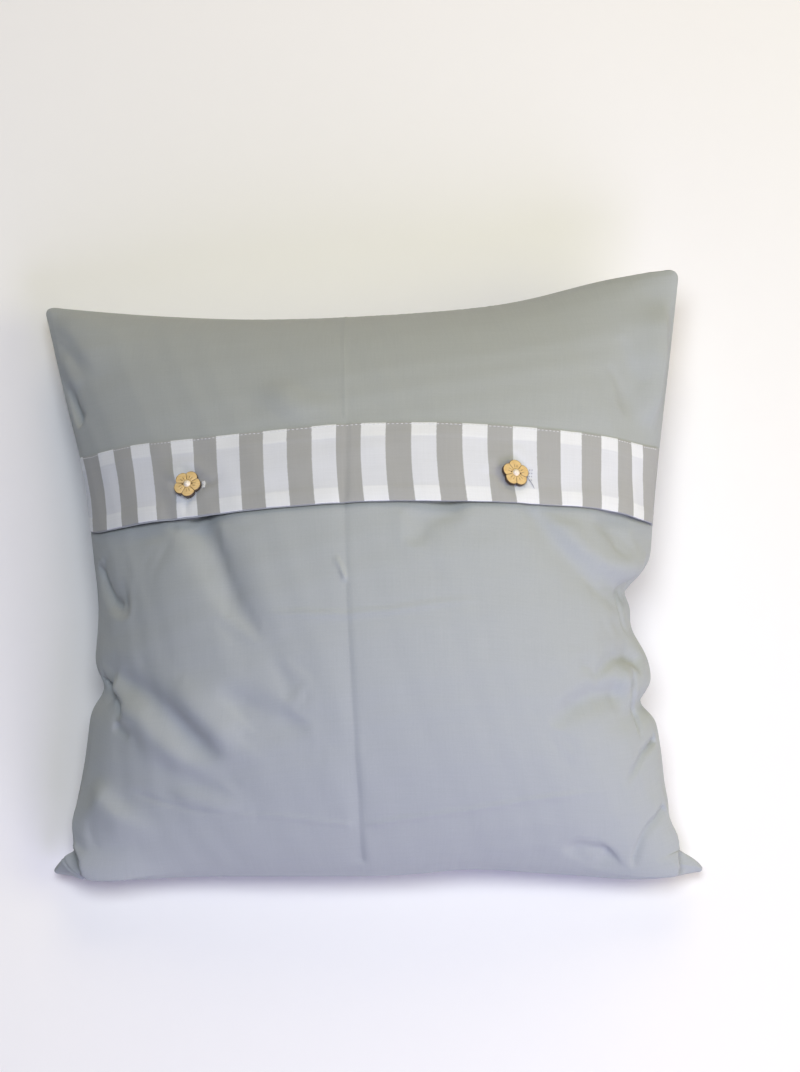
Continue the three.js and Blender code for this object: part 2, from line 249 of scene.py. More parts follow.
def sidePoints(side, t, dented):
    # a straight line, plus the arch 4t(1-t) times the bow, plus a bell curve for each dent
    t = np.asarray(t, float)[..., None]
    start, end = (np.array(corners[name], float) for name in side["ends"])
    bowStart, bowEnd = np.array(side["bow"], float)
    arch = 4 * t * (1 - t)
    points = (1 - t) * start + t * end + arch * ((1 - t) * bowStart + t * bowEnd)
    if dented:
        for at, width, *shift in side["dents"]:
            bell = np.exp(-((t - at) / width) ** 2) * np.minimum(1, 6 * arch)
            points = points + bell * np.array(shift, float)
    return points


def seamSheet(a, b):
    # the Coons sheet of the four even sides, which near each seam gives way to the dented seam
    u = spread(a, cover["drawIn"][0])
    v = spread(b, cover["drawIn"][1])
    points = 0
    for name, even, true, weight, inward in (
        ("left", v, b, 1 - u, a),
        ("right", v, b, u, 1 - a),
        ("lower", u, a, 1 - v, b),
        ("upper", u, a, v, 1 - b),
    ):
        reach = np.clip(1 - inward / cover["seamShare"], 0, 1)[..., None] ** 2
        points = points + (weight[..., None] - reach) * sidePoints(sides[name], even, False)
        points = points + reach * sidePoints(sides[name], true, True)
    for name, weight in (
        ("lowerLeft", (1 - u) * (1 - v)),
        ("lowerRight", u * (1 - v)),
        ("upperLeft", (1 - u) * v),
        ("upperRight", u * v),
    ):
        points = points - weight[..., None] * np.array(corners[name], float)
    return points


def crownShare(a, b):
    # the product of a hump across and a hump along
    across = hump(a, cover["fullness"][0], cover["lean"][0])
    along = hump(b, cover["fullness"][1], cover["lean"][1])
    return across * along


def tableCurve(rows, a):
    # a cubic between each two rows, whose slopes at the rows are those of the rows' neighbours
    shares, values = np.array(rows, float).T
    slopes = np.gradient(values, shares)
    row = np.clip(np.searchsorted(shares, a, side="right") - 1, 0, len(shares) - 2)
    width = shares[row + 1] - shares[row]
    t = (a - shares[row]) / width
    straight = values[row] + (values[row + 1] - values[row]) * (3 * t ** 2 - 2 * t ** 3)
    return straight + width * t * (1 - t) * (slopes[row] * (1 - t) - slopes[row + 1] * t)


def plainFront(a, b):
    # the seam sheet, its rows sagged, raised by the crown
    points = seamSheet(a, b)
    points[..., 1] += tableCurve(sags, a) * hump(b, cover["sagFullness"], 0)
    points[..., 2] += cover["frontCrown"] * crownShare(a, b)
    return points


def backSurface(a, b):
    # the seam sheet let down by the crown, and what would pass the floor bent level on it
    points = seamSheet(a, b)
    share = crownShare(a, b)
    hanging = np.maximum(0, points[..., 2] - cover["backCrown"] * share)
    points[..., 2] = hanging ** 2 / np.maximum(hanging + cover["floorRound"] * share, 0.001)
    return points


def lineDistance(a, b, line):
    # the signed distance in mm to the nearest point of a line, left of it positive, and how far
    # along it, from 0 to 1, that point lies
    side = cover["side"]
    best = np.full(a.shape, 1e9)
    signed = np.zeros(a.shape)
    along = np.zeros(a.shape)
    lengths = [math.dist(p, q) * side for p, q in zip(line, line[1:])]
    passed = 0.0
    for (a0, b0), (a1, b1), length in zip(line, line[1:], lengths):
        x, y = (a - a0) * side, (b - b0) * side
        dx, dy = (a1 - a0) * side, (b1 - b0) * side
        t = np.clip((x * dx + y * dy) / length ** 2, 0, 1)
        distance = np.hypot(x - t * dx, y - t * dy)
        nearer = distance < best
        best = np.where(nearer, distance, best)
        signed = np.where(nearer, np.where(dx * y - dy * x >= 0, distance, -distance), signed)
        along = np.where(nearer, (passed + t * length) / sum(lengths), along)
        passed += length
    return signed, along


def foldRise(a, b, table):
    # for each fold a bell whose crest is as round and whose two flanks are as long as it says
    total = np.zeros(a.shape)
    for fold in table.values():
        distance, along = lineDistance(a, b, fold["line"])
        left, right = fold["reach"]
        reach = right + (left - right) * smoothStep(distance, -0.2 * right, 0.2 * left)
        crest = fold["crest"]
        off = (np.sqrt(distance ** 2 + crest ** 2) - crest) / reach
        height = fold["rise"][0] + (fold["rise"][1] - fold["rise"][0]) * along
        first, last = fold.get("ends", usualEnds)
        height = height * smoothStep(along, -0.001, first) * smoothStep(1 - along, -0.001, last)
        total = total + height * np.exp(-off * (1 + 1.5 * off))
    return total


def dimpleRise(a, b):
    # a bell-shaped hollow under each button
    rise = np.zeros_like(a)
    for spot in buttonSpots.values():
        reach = np.hypot(a - spot["a"], b - spot["b"]) * cover["side"]
        rise -= dimple["depth"] * np.exp(-(reach / dimple["width"]) ** 2)
    return rise


def troughsUnderFlap(a, b):
    # the lower folds' troughs run on a little way under the flap
    share = smoothStep(b, *hem["foldsFade"]) - smoothStep(b, *hem["troughsFade"])
    return np.minimum(foldRise(a, b, lowerFolds), 0) * share * fromSeam(a, b, cover["foldClearance"])


def seamDistance(a, b):
    # mm of cloth to the nearest seam
    return np.minimum(np.minimum(a, 1 - a), np.minimum(b, 1 - b)) * cover["side"]


def fromSeam(a, b, reach):
    # 0 at a seam and 1 from the reach in
    return smoothStep(seamDistance(a, b), 0, reach)


def unit(vectors):
    return vectors / np.maximum(np.linalg.norm(vectors, axis=-1, keepdims=True), 1e-9)


def gridNormals(points):
    # the cross product of the slopes along the two ways of the grid
    alongB, alongA = np.gradient(points, axis=(0, 1))
    return unit(np.cross(alongA, alongB))


def denseShares(start, end, cells, spots):
    # even steps of the running sum of a density that is 1 plus a bell at each spot
    fine = np.linspace(start, end, 4001)
    density = np.ones_like(fine)
    for spot, amount, width in spots:
        density = density + amount * np.exp(-((fine - spot) / width) ** 2)
    total = np.concatenate([[0], np.cumsum((density[1:] + density[:-1]) / 2)])
    return np.interp(np.linspace(0, total[-1], cells + 1), total, fine)


def roundCorners(a, b):
    # each corner square of the sheet is drawn in to a quarter of a disc
    for right in (False, True):
        for upper in (False, True):
            radius = cover["cornerRadius"][upper] / cover["side"]
            x = 1 - a if right else a
            y = 1 - b if upper else b
            u = np.clip((radius - x) / radius, 0, 1)
            v = np.clip((radius - y) / radius, 0, 1)
            inside = (u > 0) & (v > 0)
            newX = np.where(inside, radius * (1 - u * np.sqrt(1 - v ** 2 / 2)), x)
            newY = np.where(inside, radius * (1 - v * np.sqrt(1 - u ** 2 / 2)), y)
            a = 1 - newX if right else newX
            b = 1 - newY if upper else newY
    return a, b


def sampleGrid(grid, a, b):
    # Catmull-Rom curves through an even grid, both ways, with its rim carried on straight
    cells = grid.shape[0] - 1
    wide = np.concatenate([2 * grid[:1] - grid[1:2], grid, 2 * grid[-1:] - grid[-2:-1]], 0)
    wide = np.concatenate([2 * wide[:, :1] - wide[:, 1:2], wide, 2 * wide[:, -1:] - wide[:, -2:-1]], 1)
    parts = []
    for share in (a, b):
        place = np.clip(np.asarray(share, float), 0, 1) * cells
        cell = np.clip(np.floor(place).astype(int), 0, cells - 1)
        f = place - cell
        parts.append((cell, [
            (-f + 2 * f ** 2 - f ** 3) / 2,
            (2 - 5 * f ** 2 + 3 * f ** 3) / 2,
            (f + 4 * f ** 2 - 3 * f ** 3) / 2,
            (-f ** 2 + f ** 3) / 2,
        ]))
    (column, across), (row, along) = parts
    total = 0
    for j in range(4):
        for i in range(4):
            total = total + (along[j] * across[i])[..., None] * wide[row + j, column + i]
    return total


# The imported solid's lowest corner says where the row frame's origin lies
modelLow = seamSheet(*np.meshgrid(*[np.linspace(0, 1, 401)] * 2)).reshape(-1, 3).min(0)
solidLow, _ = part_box("cover_body")
placing = np.array([solidLow.x / mm - modelLow[0], solidLow.y / mm - modelLow[1], 0.0])
print("placing", placing.round(2).tolist())


def newObject(name, data):
    item = bpy.data.objects.new(name, data)
    bpy.context.scene.collection.objects.link(item)
    return item


def newPiece(name, vertices, faces, uvs=None):
    # vertices in mm of the model, moved into the row frame and made metres
    mesh = bpy.data.meshes.new(name)
    placed = (np.asarray(vertices, float) + placing) * mm
    mesh.from_pydata(placed.tolist(), [], [list(map(int, face)) for face in faces])
    if uvs is not None:
        layer = mesh.uv_layers.new(name="cloth")
        loops = np.empty(len(mesh.loops), int)
        mesh.loops.foreach_get("vertex_index", loops)
        layer.data.foreach_set("uv", np.asarray(uvs, float)[loops].ravel())
    mesh.update()
    mesh.polygons.foreach_set("use_smooth", np.full(len(mesh.polygons), True))
    return newObject(name, mesh)


def gridFaces(index):
    # one four-sided face for each cell of a grid of point numbers
    return np.stack([index[:-1, :-1], index[:-1, 1:], index[1:, 1:], index[1:, :-1]], -1).reshape(-1, 4)


def bothFaces(front, back):
    # the faces of a front, and those of a back that looks the other way
    return np.concatenate([gridFaces(front), gridFaces(back)[:, ::-1]])


def shellIndex(rows):
    # point numbers of a square front and a back that share their rim
    front = np.arange(rows ** 2).reshape(rows, rows)
    back = front.copy()
    back[1:-1, 1:-1] = rows ** 2 + np.arange((rows - 2) ** 2).reshape(rows - 2, rows - 2)
    return front, back


def joined(front, back):
    # a row for each of the front's points, then for each of the back's that isn't on the rim
    return np.concatenate([grid.reshape(-1, grid.shape[-1]) for grid in (front, back[1:-1, 1:-1])])


# The cloth of the cover, as Blender's cloth finds its rest over the filling
drape = {
    "cells": 110,
    "frames": 26,
    "pressure": 3.0,
    "panelGap": 0.4,          # between the two panels where they are cut, mm
    "onFloor": 0.05,          # what lies lower than this is held by the floor, mm
    "cap": 12.0,              # the most that a point may move, mm
    "settings": {
        "quality": 6,
        "mass": 0.15,
        "air_damping": 1.0,
        "tension_stiffness": 20.0,
        "compression_stiffness": 20.0,
        "shear_stiffness": 8.0,
        "bending_stiffness": 0.4,
        "tension_damping": 1.5,
        "compression_damping": 1.5,
        "shear_damping": 1.5,
        "bending_damping": 0.6,
    },
}


def drapeCover(front, back):
    # the panels are cut flat, held at the seams and on the floor, and blown up by the filling
    cells = drape["cells"]
    frontIndex, backIndex = shellIndex(cells + 1)
    points = joined(front, back)
    piece = newPiece("drapingCloth", points, bothFaces(frontIndex, backIndex))
    x, y = np.meshgrid(*[np.linspace(0, cover["side"], cells + 1)] * 2)
    flat = np.stack([x, y, np.zeros_like(x)], -1)
    rest = joined(flat, flat - np.array([0, 0, drape["panelGap"]])) * mm
    piece.shape_key_add(name="Basis")
    cutKey = piece.shape_key_add(name="cut")
    cutKey.data.foreach_set("co", rest.ravel())
    cutKey.value = 0
    held = piece.vertex_groups.new(name="held")
    onFloor = backIndex[back[..., 2] < drape["onFloor"]]
    rim = np.concatenate([frontIndex[0], frontIndex[-1], frontIndex[:, 0], frontIndex[:, -1]])
    held.add([int(i) for i in np.unique(np.concatenate([rim, onFloor]))], 1.0, "REPLACE")
    cloth = piece.modifiers.new("cloth", "CLOTH")
    for name, value in drape["settings"].items():
        setattr(cloth.settings, name, value)
    cloth.settings.rest_shape_key = cutKey
    cloth.settings.vertex_group_mass = held.name
    cloth.settings.use_pressure = True
    cloth.settings.uniform_pressure_force = drape["pressure"]
    cloth.settings.effector_weights.gravity = 0
    cloth.collision_settings.use_collision = False
    cloth.point_cache.frame_end = drape["frames"]
    scene = bpy.context.scene
    for step in range(1, drape["frames"] + 1):
        scene.frame_set(step)
    evaluated = piece.evaluated_get(bpy.context.evaluated_depsgraph_get())
    settled = np.empty(len(points) * 3)
    evaluated.data.vertices.foreach_get("co", settled)
    settled = settled.reshape(-1, 3) / mm - placing
    scene.frame_set(1)
    bpy.data.objects.remove(piece)
    moved = settled - points
    length = np.linalg.norm(moved, axis=-1, keepdims=True)
    capped = drape["cap"] * np.tanh(length / drape["cap"])
    points = points + moved * capped / np.maximum(length, 1e-9)
    print("cloth moved", length.mean().round(2), "mm on average and", length.max().round(2), "at most")
    return points[frontIndex], points[backIndex]


# Large form: the designed surfaces, then the cloth
gridA, gridB = np.meshgrid(*[np.linspace(0, 1, drape["cells"] + 1)] * 2)
smoothFront = plainFront(gridA, gridB)
fadedFolds = foldRise(gridA, gridB, lowerFolds) * (1 - smoothStep(gridB, *hem["foldsFade"]))
rise = fadedFolds + foldRise(gridA, gridB, upperFolds) + dimpleRise(gridA, gridB)
rise = rise * fromSeam(gridA, gridB, cover["foldClearance"])
frontForm = smoothFront + gridNormals(smoothFront) * rise[..., None]
backForm = backSurface(gridA, gridB)
frontForm, backForm = drapeCover(frontForm, backForm)
print("large form ready")


def frontNormal(a, b):
    # the large form's outward direction, from small steps along it
    step = 0.003
    alongA = sampleGrid(frontForm, a + step, b) - sampleGrid(frontForm, a - step, b)
    alongB = sampleGrid(frontForm, a, b + step) - sampleGrid(frontForm, a, b - step)
    return unit(np.cross(alongA, alongB))


def overFront(a, b, height):
    # the large form, raised along its outward direction
    a, b = roundCorners(np.asarray(a, float), np.asarray(b, float))
    return sampleGrid(frontForm, a, b) + frontNormal(a, b) * np.asarray(height)[..., None]


# Fine form of the cloth: pressed fold lines, small creases, the seams' gathers and the two ears
creases = foldTable({
    "over the band's left end": (
        [(0.006, 0.870), (0.011, 0.835), (0.021, 0.797), (0.034, 0.764)],
        (-0.6, -2.2), (9, 4), 0.8, (0.3, 0.03)),
    "pressed up the middle": (
        [(0.479, 0.598), (0.478, 0.456), (0.482, 0.315), (0.485, 0.152), (0.482, 0.020)],
        (-0.5, -1.1), (3.5, 9.0), 0.4, (0.001, 0.02)),
    "pressed up the flap": (
        [(0.485, 0.990), (0.484, 0.724)],
        (0.22, 0.22), (1.6, 1.6), 0.3, (0.001, 0.01)),
    "pressed up the band": (
        [(0.486, 0.715), (0.482, 0.598)],
        (-0.5, -0.6), (1.5, 5.0), 0.3, (0.001, 0.001)),
    "cross pucker": (
        [(0.462, 0.520), (0.472, 0.503), (0.478, 0.484)],
        (1.0, 1.3), (1.6, 2.0), 0.4, (0.3, 0.02)),
    "pressed across": (
        [(0.331, 0.450), (0.413, 0.443), (0.480, 0.437), (0.539, 0.440), (0.609, 0.451),
         (0.700, 0.464)],
        (1.0, 0.8), (1.6, 3.0), 0.3, (0.3, 0.3)),
    "pressed across, lower": (
        [(0.487, 0.104), (0.546, 0.116), (0.628, 0.131), (0.713, 0.155), (0.801, 0.177),
         (0.870, 0.190)],
        (1.3, 0.9), (1.8, 5.0), 0.3, (0.06, 0.3)),
    "pressed across, lower left": (
        [(0.296, 0.141), (0.378, 0.131), (0.480, 0.104)],
        (0.8, 0.8), (1.8, 4.0), 0.3, (0.3, 0.08)),
    "left pinch": (
        [(0.012, 0.357), (0.034, 0.352), (0.062, 0.343), (0.080, 0.332), (0.093, 0.318)],
        (-2.8, -2.6), (3.0, 5.0), 0.4, (0.02, 0.05)),
    "second left pinch": (
        [(0.070, 0.306), (0.095, 0.298), (0.119, 0.286)],
        (-1.8, -1.0), (4.0, 5.0), 0.6),
    "left dimple": (
        [(0.014, 0.540), (0.028, 0.519), (0.044, 0.502), (0.062, 0.487), (0.084, 0.478)],
        (-1.0, -2.4), (7, 3), 0.7, (0.15, 0.04)),
    "low left line": (
        [(0.120, 0.202), (0.175, 0.184), (0.239, 0.158), (0.296, 0.141), (0.356, 0.137)],
        (-0.9, -0.4), (3.0, 2.0), 0.4),
    "beside the left ear": (
        [(0.052, 0.131), (0.062, 0.100), (0.072, 0.070)],
        (-0.5, -0.5), (6, 8), 0.8, (0.5, 0.4)),
    "right arc": (
        [(0.858, 0.356), (0.880, 0.379), (0.912, 0.394), (0.950, 0.393), (0.985, 0.372)],
        (-0.9, -1.6), (4.0, 2.4), 0.5),
    "right notch": (
        [(0.990, 0.505), (0.970, 0.497), (0.953, 0.489), (0.949, 0.471), (0.956, 0.444),
         (0.980, 0.414)],
        (-2.2, -1.6), (3.5, 3.0), 0.5, (0.02, 0.3)),
    "over the notch": (
        [(0.895, 0.560), (0.915, 0.548), (0.940, 0.538)],
        (-0.6, -0.6), (3.0, 4.0), 0.8),
    "short right line": (
        [(0.954, 0.374), (0.950, 0.340), (0.966, 0.297), (0.953, 0.275), (0.950, 0.255)],
        (-2.4, -3.0), (2.2, 3.0), 0.5, (0.15, 0.3)),
    "second right line": (
        [(0.990, 0.244), (0.951, 0.236), (0.912, 0.206), (0.890, 0.185)],
        (-3.6, -1.6), (2.4, 4.5), 0.5, (0.02, 0.4)),
    "tall right line": (
        [(0.980, 0.130), (0.934, 0.110), (0.912, 0.090), (0.900, 0.068), (0.888, 0.024)],
        (-2.8, -2.0), (4.5, 2.4), 0.5, (0.02, 0.2)),
    "edge of the low tuck": (
        [(0.735, 0.030), (0.763, 0.058), (0.792, 0.084), (0.824, 0.086), (0.859, 0.048),
         (0.885, 0.015)],
        (-0.5, -0.9), (2.6, 9.0), 0.8, (0.4, 0.2)),
    "left button, left": (
        [(0.240, 0.634), (0.222, 0.646), (0.198, 0.664)],
        (-1.3, -0.4), (3.0, 4.0), 0.6, (0.02, 0.6)),
    "left button, right": (
        [(0.272, 0.638), (0.290, 0.640), (0.310, 0.652)],
        (-1.3, -0.4), (3.5, 3.0), 0.6, (0.02, 0.6)),
    "left button, above": (
        [(0.266, 0.645), (0.264, 0.658), (0.262, 0.668)],
        (-0.9, -0.2), (3.0, 3.0), 0.8, (0.02, 0.6)),
    "left buttonhole": (
        [(0.282, 0.628), (0.283, 0.600)],
        (0.2, 0.15), (0.8, 0.8), 0.2, (0.1, 0.1)),
    "right button, left": (
        [(0.700, 0.636), (0.680, 0.634), (0.655, 0.637)],
        (-0.6, -0.2), (3.0, 3.0), 0.6, (0.02, 0.6)),
    "band's left end": (
        [(0.013, 0.706), (0.013, 0.596)],
        (-0.8, -0.8), (1.2, 1.6), 0.3, (0.05, 0.05)),
})

seams = {
    "gatherDepth": 0.4,                # of the small gathers beside the seams
    "gatherLength": 11.0,
    "gatherReach": 9.0,
    "gatherStrength": (0.6, 0.4),      # its middle value, and how far it varies along a seam
    "gatherPatches": 2.2,
    "ditch": 0.15,                     # the faint line beside a seam where its inner edge ends
    "ditchAt": 3.5,
    "ditchWidth": 1.4,
    "wave": 0.3,                       # of the slow unevenness all over
    "waveLength": 62.0,
    "waveRim": 20.0,                   # the waves and the creases die out this near to a seam
    "creaseRim": 2.5,
    "gatherRim": 2.5,
    "cornerFade": (8, 26),             # no gathers this near to a corner
}

# Each lower corner is an ear: the filled front stands over it along the line, and two flat faces
# of the ear meet in a ridge. All stretches below are in mm from the line, the ridge or a seam
earForm = {
    "step": (-0.3, 2.2),      # the front stands up over this stretch
    "creviceAt": 0.3,         # how far outside the line the crevice is deepest
    "creviceEdge": (-1.0, 0.2),
    "leanReach": 7,
    "leanFade": (3, 11),
    "ridgeWidth": 4.0,
    "ridgeFade": 3,
    "splitWidth": 0.6,
    "rim": (6, 2.5),          # the bulge and the ridge die out this near to a seam
}

ears = {
    "left": {
        "line": [(0.0, 0.068), (0.020, 0.060), (0.038, 0.045), (0.052, 0.026), (0.060, 0.0)],
        "bulge": 7.0,
        "reach": 30.0,
        "lean": (-3.6, 0.0),        # how far the step's upper edge hangs over the ear, mm
        "crevice": (5.0, 1.0),      # depth and width on the ear's side
        "ridge": [(0.0, 0.034), (0.025, 0.020), (0.056, 0.006)],
        "ridgeRise": 5.0,
        "split": 2.8,               # depth of the dark line along the ridge
    },
    "right": {
        "line": [(0.958, 0.0), (0.959, 0.012), (0.964, 0.026), (0.978, 0.040), (1.0, 0.052)],
        "bulge": 6.5,
        "reach": 26.0,
        "lean": (1.8, 0.0),
        "crevice": (7.5, 3.0),
        "ridge": [(0.970, 0.020), (0.990, 0.012), (1.0, 0.005)],
        "ridgeRise": 0.8,
        "split": 0.0,
    },
}


def wobble(x, seed):
    # five sines of unlike lengths, in a fixed order for each seed
    total = 0
    for step in range(5):
        total = total + np.sin(x * (1 + 0.63 * step) + seed * (2.1 + step) + step * step)
    return total / 5


def seamRise(a, b):
    # gathers that run in from the seams, and the faint line along them
    total = 0
    for inward, along, seed in ((a, b, 1.0), (1 - a, b, 2.3), (b, a, 3.1), (1 - b, a, 4.7)):
        distance = inward * cover["side"]
        wave = wobble(2 * np.pi * along * cover["side"] / seams["gatherLength"], seed)
        middle, varied = seams["gatherStrength"]
        strength = middle + varied * wobble(2 * np.pi * along * seams["gatherPatches"], seed + 3)
        ends = smoothStep(np.minimum(along, 1 - along) * cover["side"], *seams["cornerFade"])
        lift = np.minimum(distance / seams["gatherRim"], 1)
        gather = wave * strength * np.exp(-distance / seams["gatherReach"]) * lift
        ditch = np.exp(-((distance - seams["ditchAt"]) / seams["ditchWidth"]) ** 2)
        total = total + (seams["gatherDepth"] * gather - seams["ditch"] * ditch) * ends
    return total


def slowWaves(a, b):
    # the product of slow wobbles along and across
    turn = 2 * np.pi * cover["side"] / seams["waveLength"]
    return seams["wave"] * (wobble(turn * (a + 0.3 * b), 5.3) + wobble(turn * (b - 0.2 * a), 7.9))


def earRise(a, b):
    # inside the line the front stands up steeply and falls off slowly, and outside it the ear lies low
    total = 0
    bulgeRim, ridgeRim = earForm["rim"]
    for ear in ears.values():
        inside, _ = lineDistance(a, b, ear["line"])
        falling = np.exp(-(np.maximum(inside, 0) / ear["reach"]) ** 2)
        bulge = ear["bulge"] * smoothStep(inside, *earForm["step"]) * falling
        depth, width = ear["crevice"]
        crevice = -depth * np.exp(-np.abs(inside + earForm["creviceAt"]) / width)
        crevice = crevice * smoothStep(-inside, *earForm["creviceEdge"])
        off, _ = lineDistance(a, b, ear["ridge"])
        ridge = ear["ridgeRise"] * np.exp(-np.abs(off) / earForm["ridgeWidth"])
        ridge = ridge - ear["split"] * np.exp(-np.abs(off) / earForm["splitWidth"])
        total = total + (bulge + crevice) * fromSeam(a, b, bulgeRim)
        total = total + ridge * smoothStep(-inside, 0, earForm["ridgeFade"]) * fromSeam(a, b, ridgeRim)
    return total


def earLean(a, b):
    # the step's upper edge moved outward, less and less over a few mm behind it
    total = 0
    for ear in ears.values():
        inside, _ = lineDistance(a, b, ear["line"])
        falling = np.exp(-(np.maximum(inside, 0) / earForm["leanReach"]) ** 2)
        share = smoothStep(inside, *earForm["step"]) * falling
        share = share * smoothStep(seamDistance(a, b), *earForm["leanFade"])
        total = total + share[..., None] * np.array([*ear["lean"], 0])
    return total


def fineRise(a, b):
    # all the fine form that every layer of the front shares
    creased = foldRise(a, b, creases) * fromSeam(a, b, seams["creaseRim"])
    return creased + seamRise(a, b) + slowWaves(a, b) * fromSeam(a, b, seams["waveRim"])


# Where a mesh has denser columns or rows: the share, how much denser, and over what share
denser = {
    "seams": [(0, 2.6, 0.035), (1, 2.6, 0.035)],
    "middle": [(0.48, 2.0, 0.012)],     # along the pressed line
    "topSeam": [(1, 2.0, 0.02)],
    "bandEnds": [(0, 1.5, 0.03), (1, 1.5, 0.03)],
}

flap = {
    "edge": 0.59,             # share b of its free lower edge, plus this table in mm
    "edgeShift": [(0, -1.0), (0.08, 0.2), (0.3, 0.7), (0.45, 0.5), (0.6, 0.5), (0.72, 2.1), (0.93, 3.1),
                  (0.97, 1.3), (1, -0.8)],
    "side": 0.0008,           # share a left free at the side seams
    "thickness": 0.7,
    "clear": 0.35,            # off the cloth below
    "sink": (0.4, 1.4),       # how far the cloth below gives way, farther in and right behind the edge
    "sinkReach": 14,          # it gives way fully from here in, mm
    "recess": (1.2, 3, 12),   # and behind the edge over these stretches, mm
    "seamRim": 5,             # its layers draw together this near to a seam, mm
    "cells": (250, 96),
    "lift": [(0, 0.4), (0.1, 0.8), (0.25, 0.8), (0.48, 0.7), (0.62, 0.8), (0.75, 0.7), (0.88, 1.0),
             (0.95, 2.2), (1, 0.8)],
    "liftReach": 16.0,        # how far up from its edge it lifts off
    "edgeRound": 1.1,         # the hem's edge turns down as round as this thickness
    "edgeRows": (0, 0.1, 0.25, 0.5, 0.9, 1.7),   # of its thickness up from the edge
    "heightAtSeam": 0.25,     # of its full height over the cloth
    "thicknessAtSeam": 0.2,
    "thinnest": 0.05,
}


def edgeAt(a):
    return flap["edge"] + tableCurve(flap["edgeShift"], a) / cover["side"]


def upFlap(a, b):
    # mm of cloth up from the flap's free edge
    return (b - edgeAt(a)) * cover["side"]


def underFlap(a, b):
    # how far the lower cloth sinks where the flap lies on it, and most of all right behind its edge
    under = upFlap(a, b)
    far, near = flap["sink"]
    edge, start, end = flap["recess"]
    recess = smoothStep(under, -edge, edge) * (1 - smoothStep(under, start, end))
    return (far * smoothStep(under, 0, flap["sinkReach"]) + near * recess) * fromSeam(a, b, flap["seamRim"])


shell = {
    "apart": 0.8,             # the least height of the front over the back, mm
    "rim": 4,                 # mm from a seam over which that gap opens
    "offFloor": (0.5, 12),    # the back's fine form begins over this height, mm
    "backWaves": 1.5,         # its slow waves over the front's
    "backMap": 2.5,           # the back's cloth map is the front's, mirrored and moved by this
}


def makeBody():
    # front and back on one grid of shares, joined at the seams
    a, b = np.meshgrid(denseShares(0, 1, cover["cells"], denser["seams"] + denser["middle"]),
                     denseShares(0, 1, cover["cells"], denser["seams"]))
    front = overFront(a, b, fineRise(a, b) + earRise(a, b) + troughsUnderFlap(a, b) - underFlap(a, b))
    front = front + earLean(a, b)
    roundA, roundB = roundCorners(a, b)
    back = sampleGrid(backForm, roundA, roundB)
    rim = fromSeam(a, b, shell["rim"])
    backRise = (seamRise(a, b) + shell["backWaves"] * slowWaves(b, a)) * rim
    backRise = backRise * smoothStep(back[..., 2], *shell["offFloor"])
    back = back - gridNormals(back) * backRise[..., None]
    apart = shell["apart"] * rim
    back[..., 2] = np.maximum(np.minimum(back[..., 2], front[..., 2] - apart), 0)
    front[..., 2] = np.maximum(front[..., 2], back[..., 2] + apart)
    uvs = joined(np.stack([a, b], -1), np.stack([shell["backMap"] - a, b], -1))
    return newPiece("coverBody", joined(front, back), bothFaces(*shellIndex(a.shape[0])), uvs)


def makeSheet(name, a, b, height, thickness, woven=None):
    # an upper and a lower surface along the front, closed round the rim
    upper = overFront(a, b, height)
    lower = overFront(a, b, height - thickness)
    index = np.arange(a.size).reshape(a.shape)
    ring = np.concatenate([index[0, :-1], index[:-1, -1], index[-1, :0:-1], index[:0:-1, 0]])
    after = np.roll(ring, -1)
    wall = np.stack([ring, ring + a.size, after + a.size, after], -1)
    points = np.concatenate([upper.reshape(-1, 3), lower.reshape(-1, 3)])
    faces = np.concatenate([bothFaces(index, index + a.size), wall])
    uvs = (np.stack([a, b], -1) if woven is None else woven).reshape(-1, 2)
    return newPiece(name, points, faces, np.concatenate([uvs, uvs]))


def roundedEdge(distance, thickness):
    # how far a round edge lies below its flat side, at a distance in from the edge
    s = np.clip(distance / (thickness / 2), 0, 1)
    return thickness / 2 * (1 - np.sqrt(1 - (1 - s) ** 2))


def flapLift(a, b):
    # the free edge's lift, falling off up the flap
    return tableCurve(flap["lift"], a) * np.exp(-(upFlap(a, b) / flap["liftReach"]) ** 2)


def flapHeight(a, b):
    # height of the flap's outer side over the large form
    rim = fromSeam(a, b, flap["seamRim"])
    full = flap["clear"] + flap["thickness"]
    laid = flap["sink"][0] * smoothStep(upFlap(a, b), 0, flap["sinkReach"])
    atSeam = flap["heightAtSeam"]
    return full * (atSeam + (1 - atSeam) * rim) + (flapLift(a, b) - laid) * rim


def makeFlap():
    # its first rows lie close together, so that they carry the edge's rounding
    first, last = flap["edge"], 1 - flap["side"]
    columns = denseShares(flap["side"], last, flap["cells"][0], denser["seams"] + denser["middle"])
    edgeRows = np.array(flap["edgeRows"]) * flap["thickness"] / cover["side"]
    rows = denseShares(first + edgeRows[-1], last, flap["cells"][1], denser["topSeam"])
    a, b = np.meshgrid(columns, np.concatenate([first + edgeRows[:-1], rows]))
    b = b + (edgeAt(a) - first) * (1 - b) / (1 - first)
    rounding = roundedEdge(upFlap(a, b), flap["edgeRound"])
    atSeam = flap["thicknessAtSeam"]
    thickness = flap["thickness"] * (atSeam + (1 - atSeam) * fromSeam(a, b, flap["seamRim"]))
    thickness = np.maximum(thickness - 2 * rounding, flap["thinnest"])
    return makeSheet("upperFlap", a, b, flapHeight(a, b) + fineRise(a, b) - rounding, thickness)


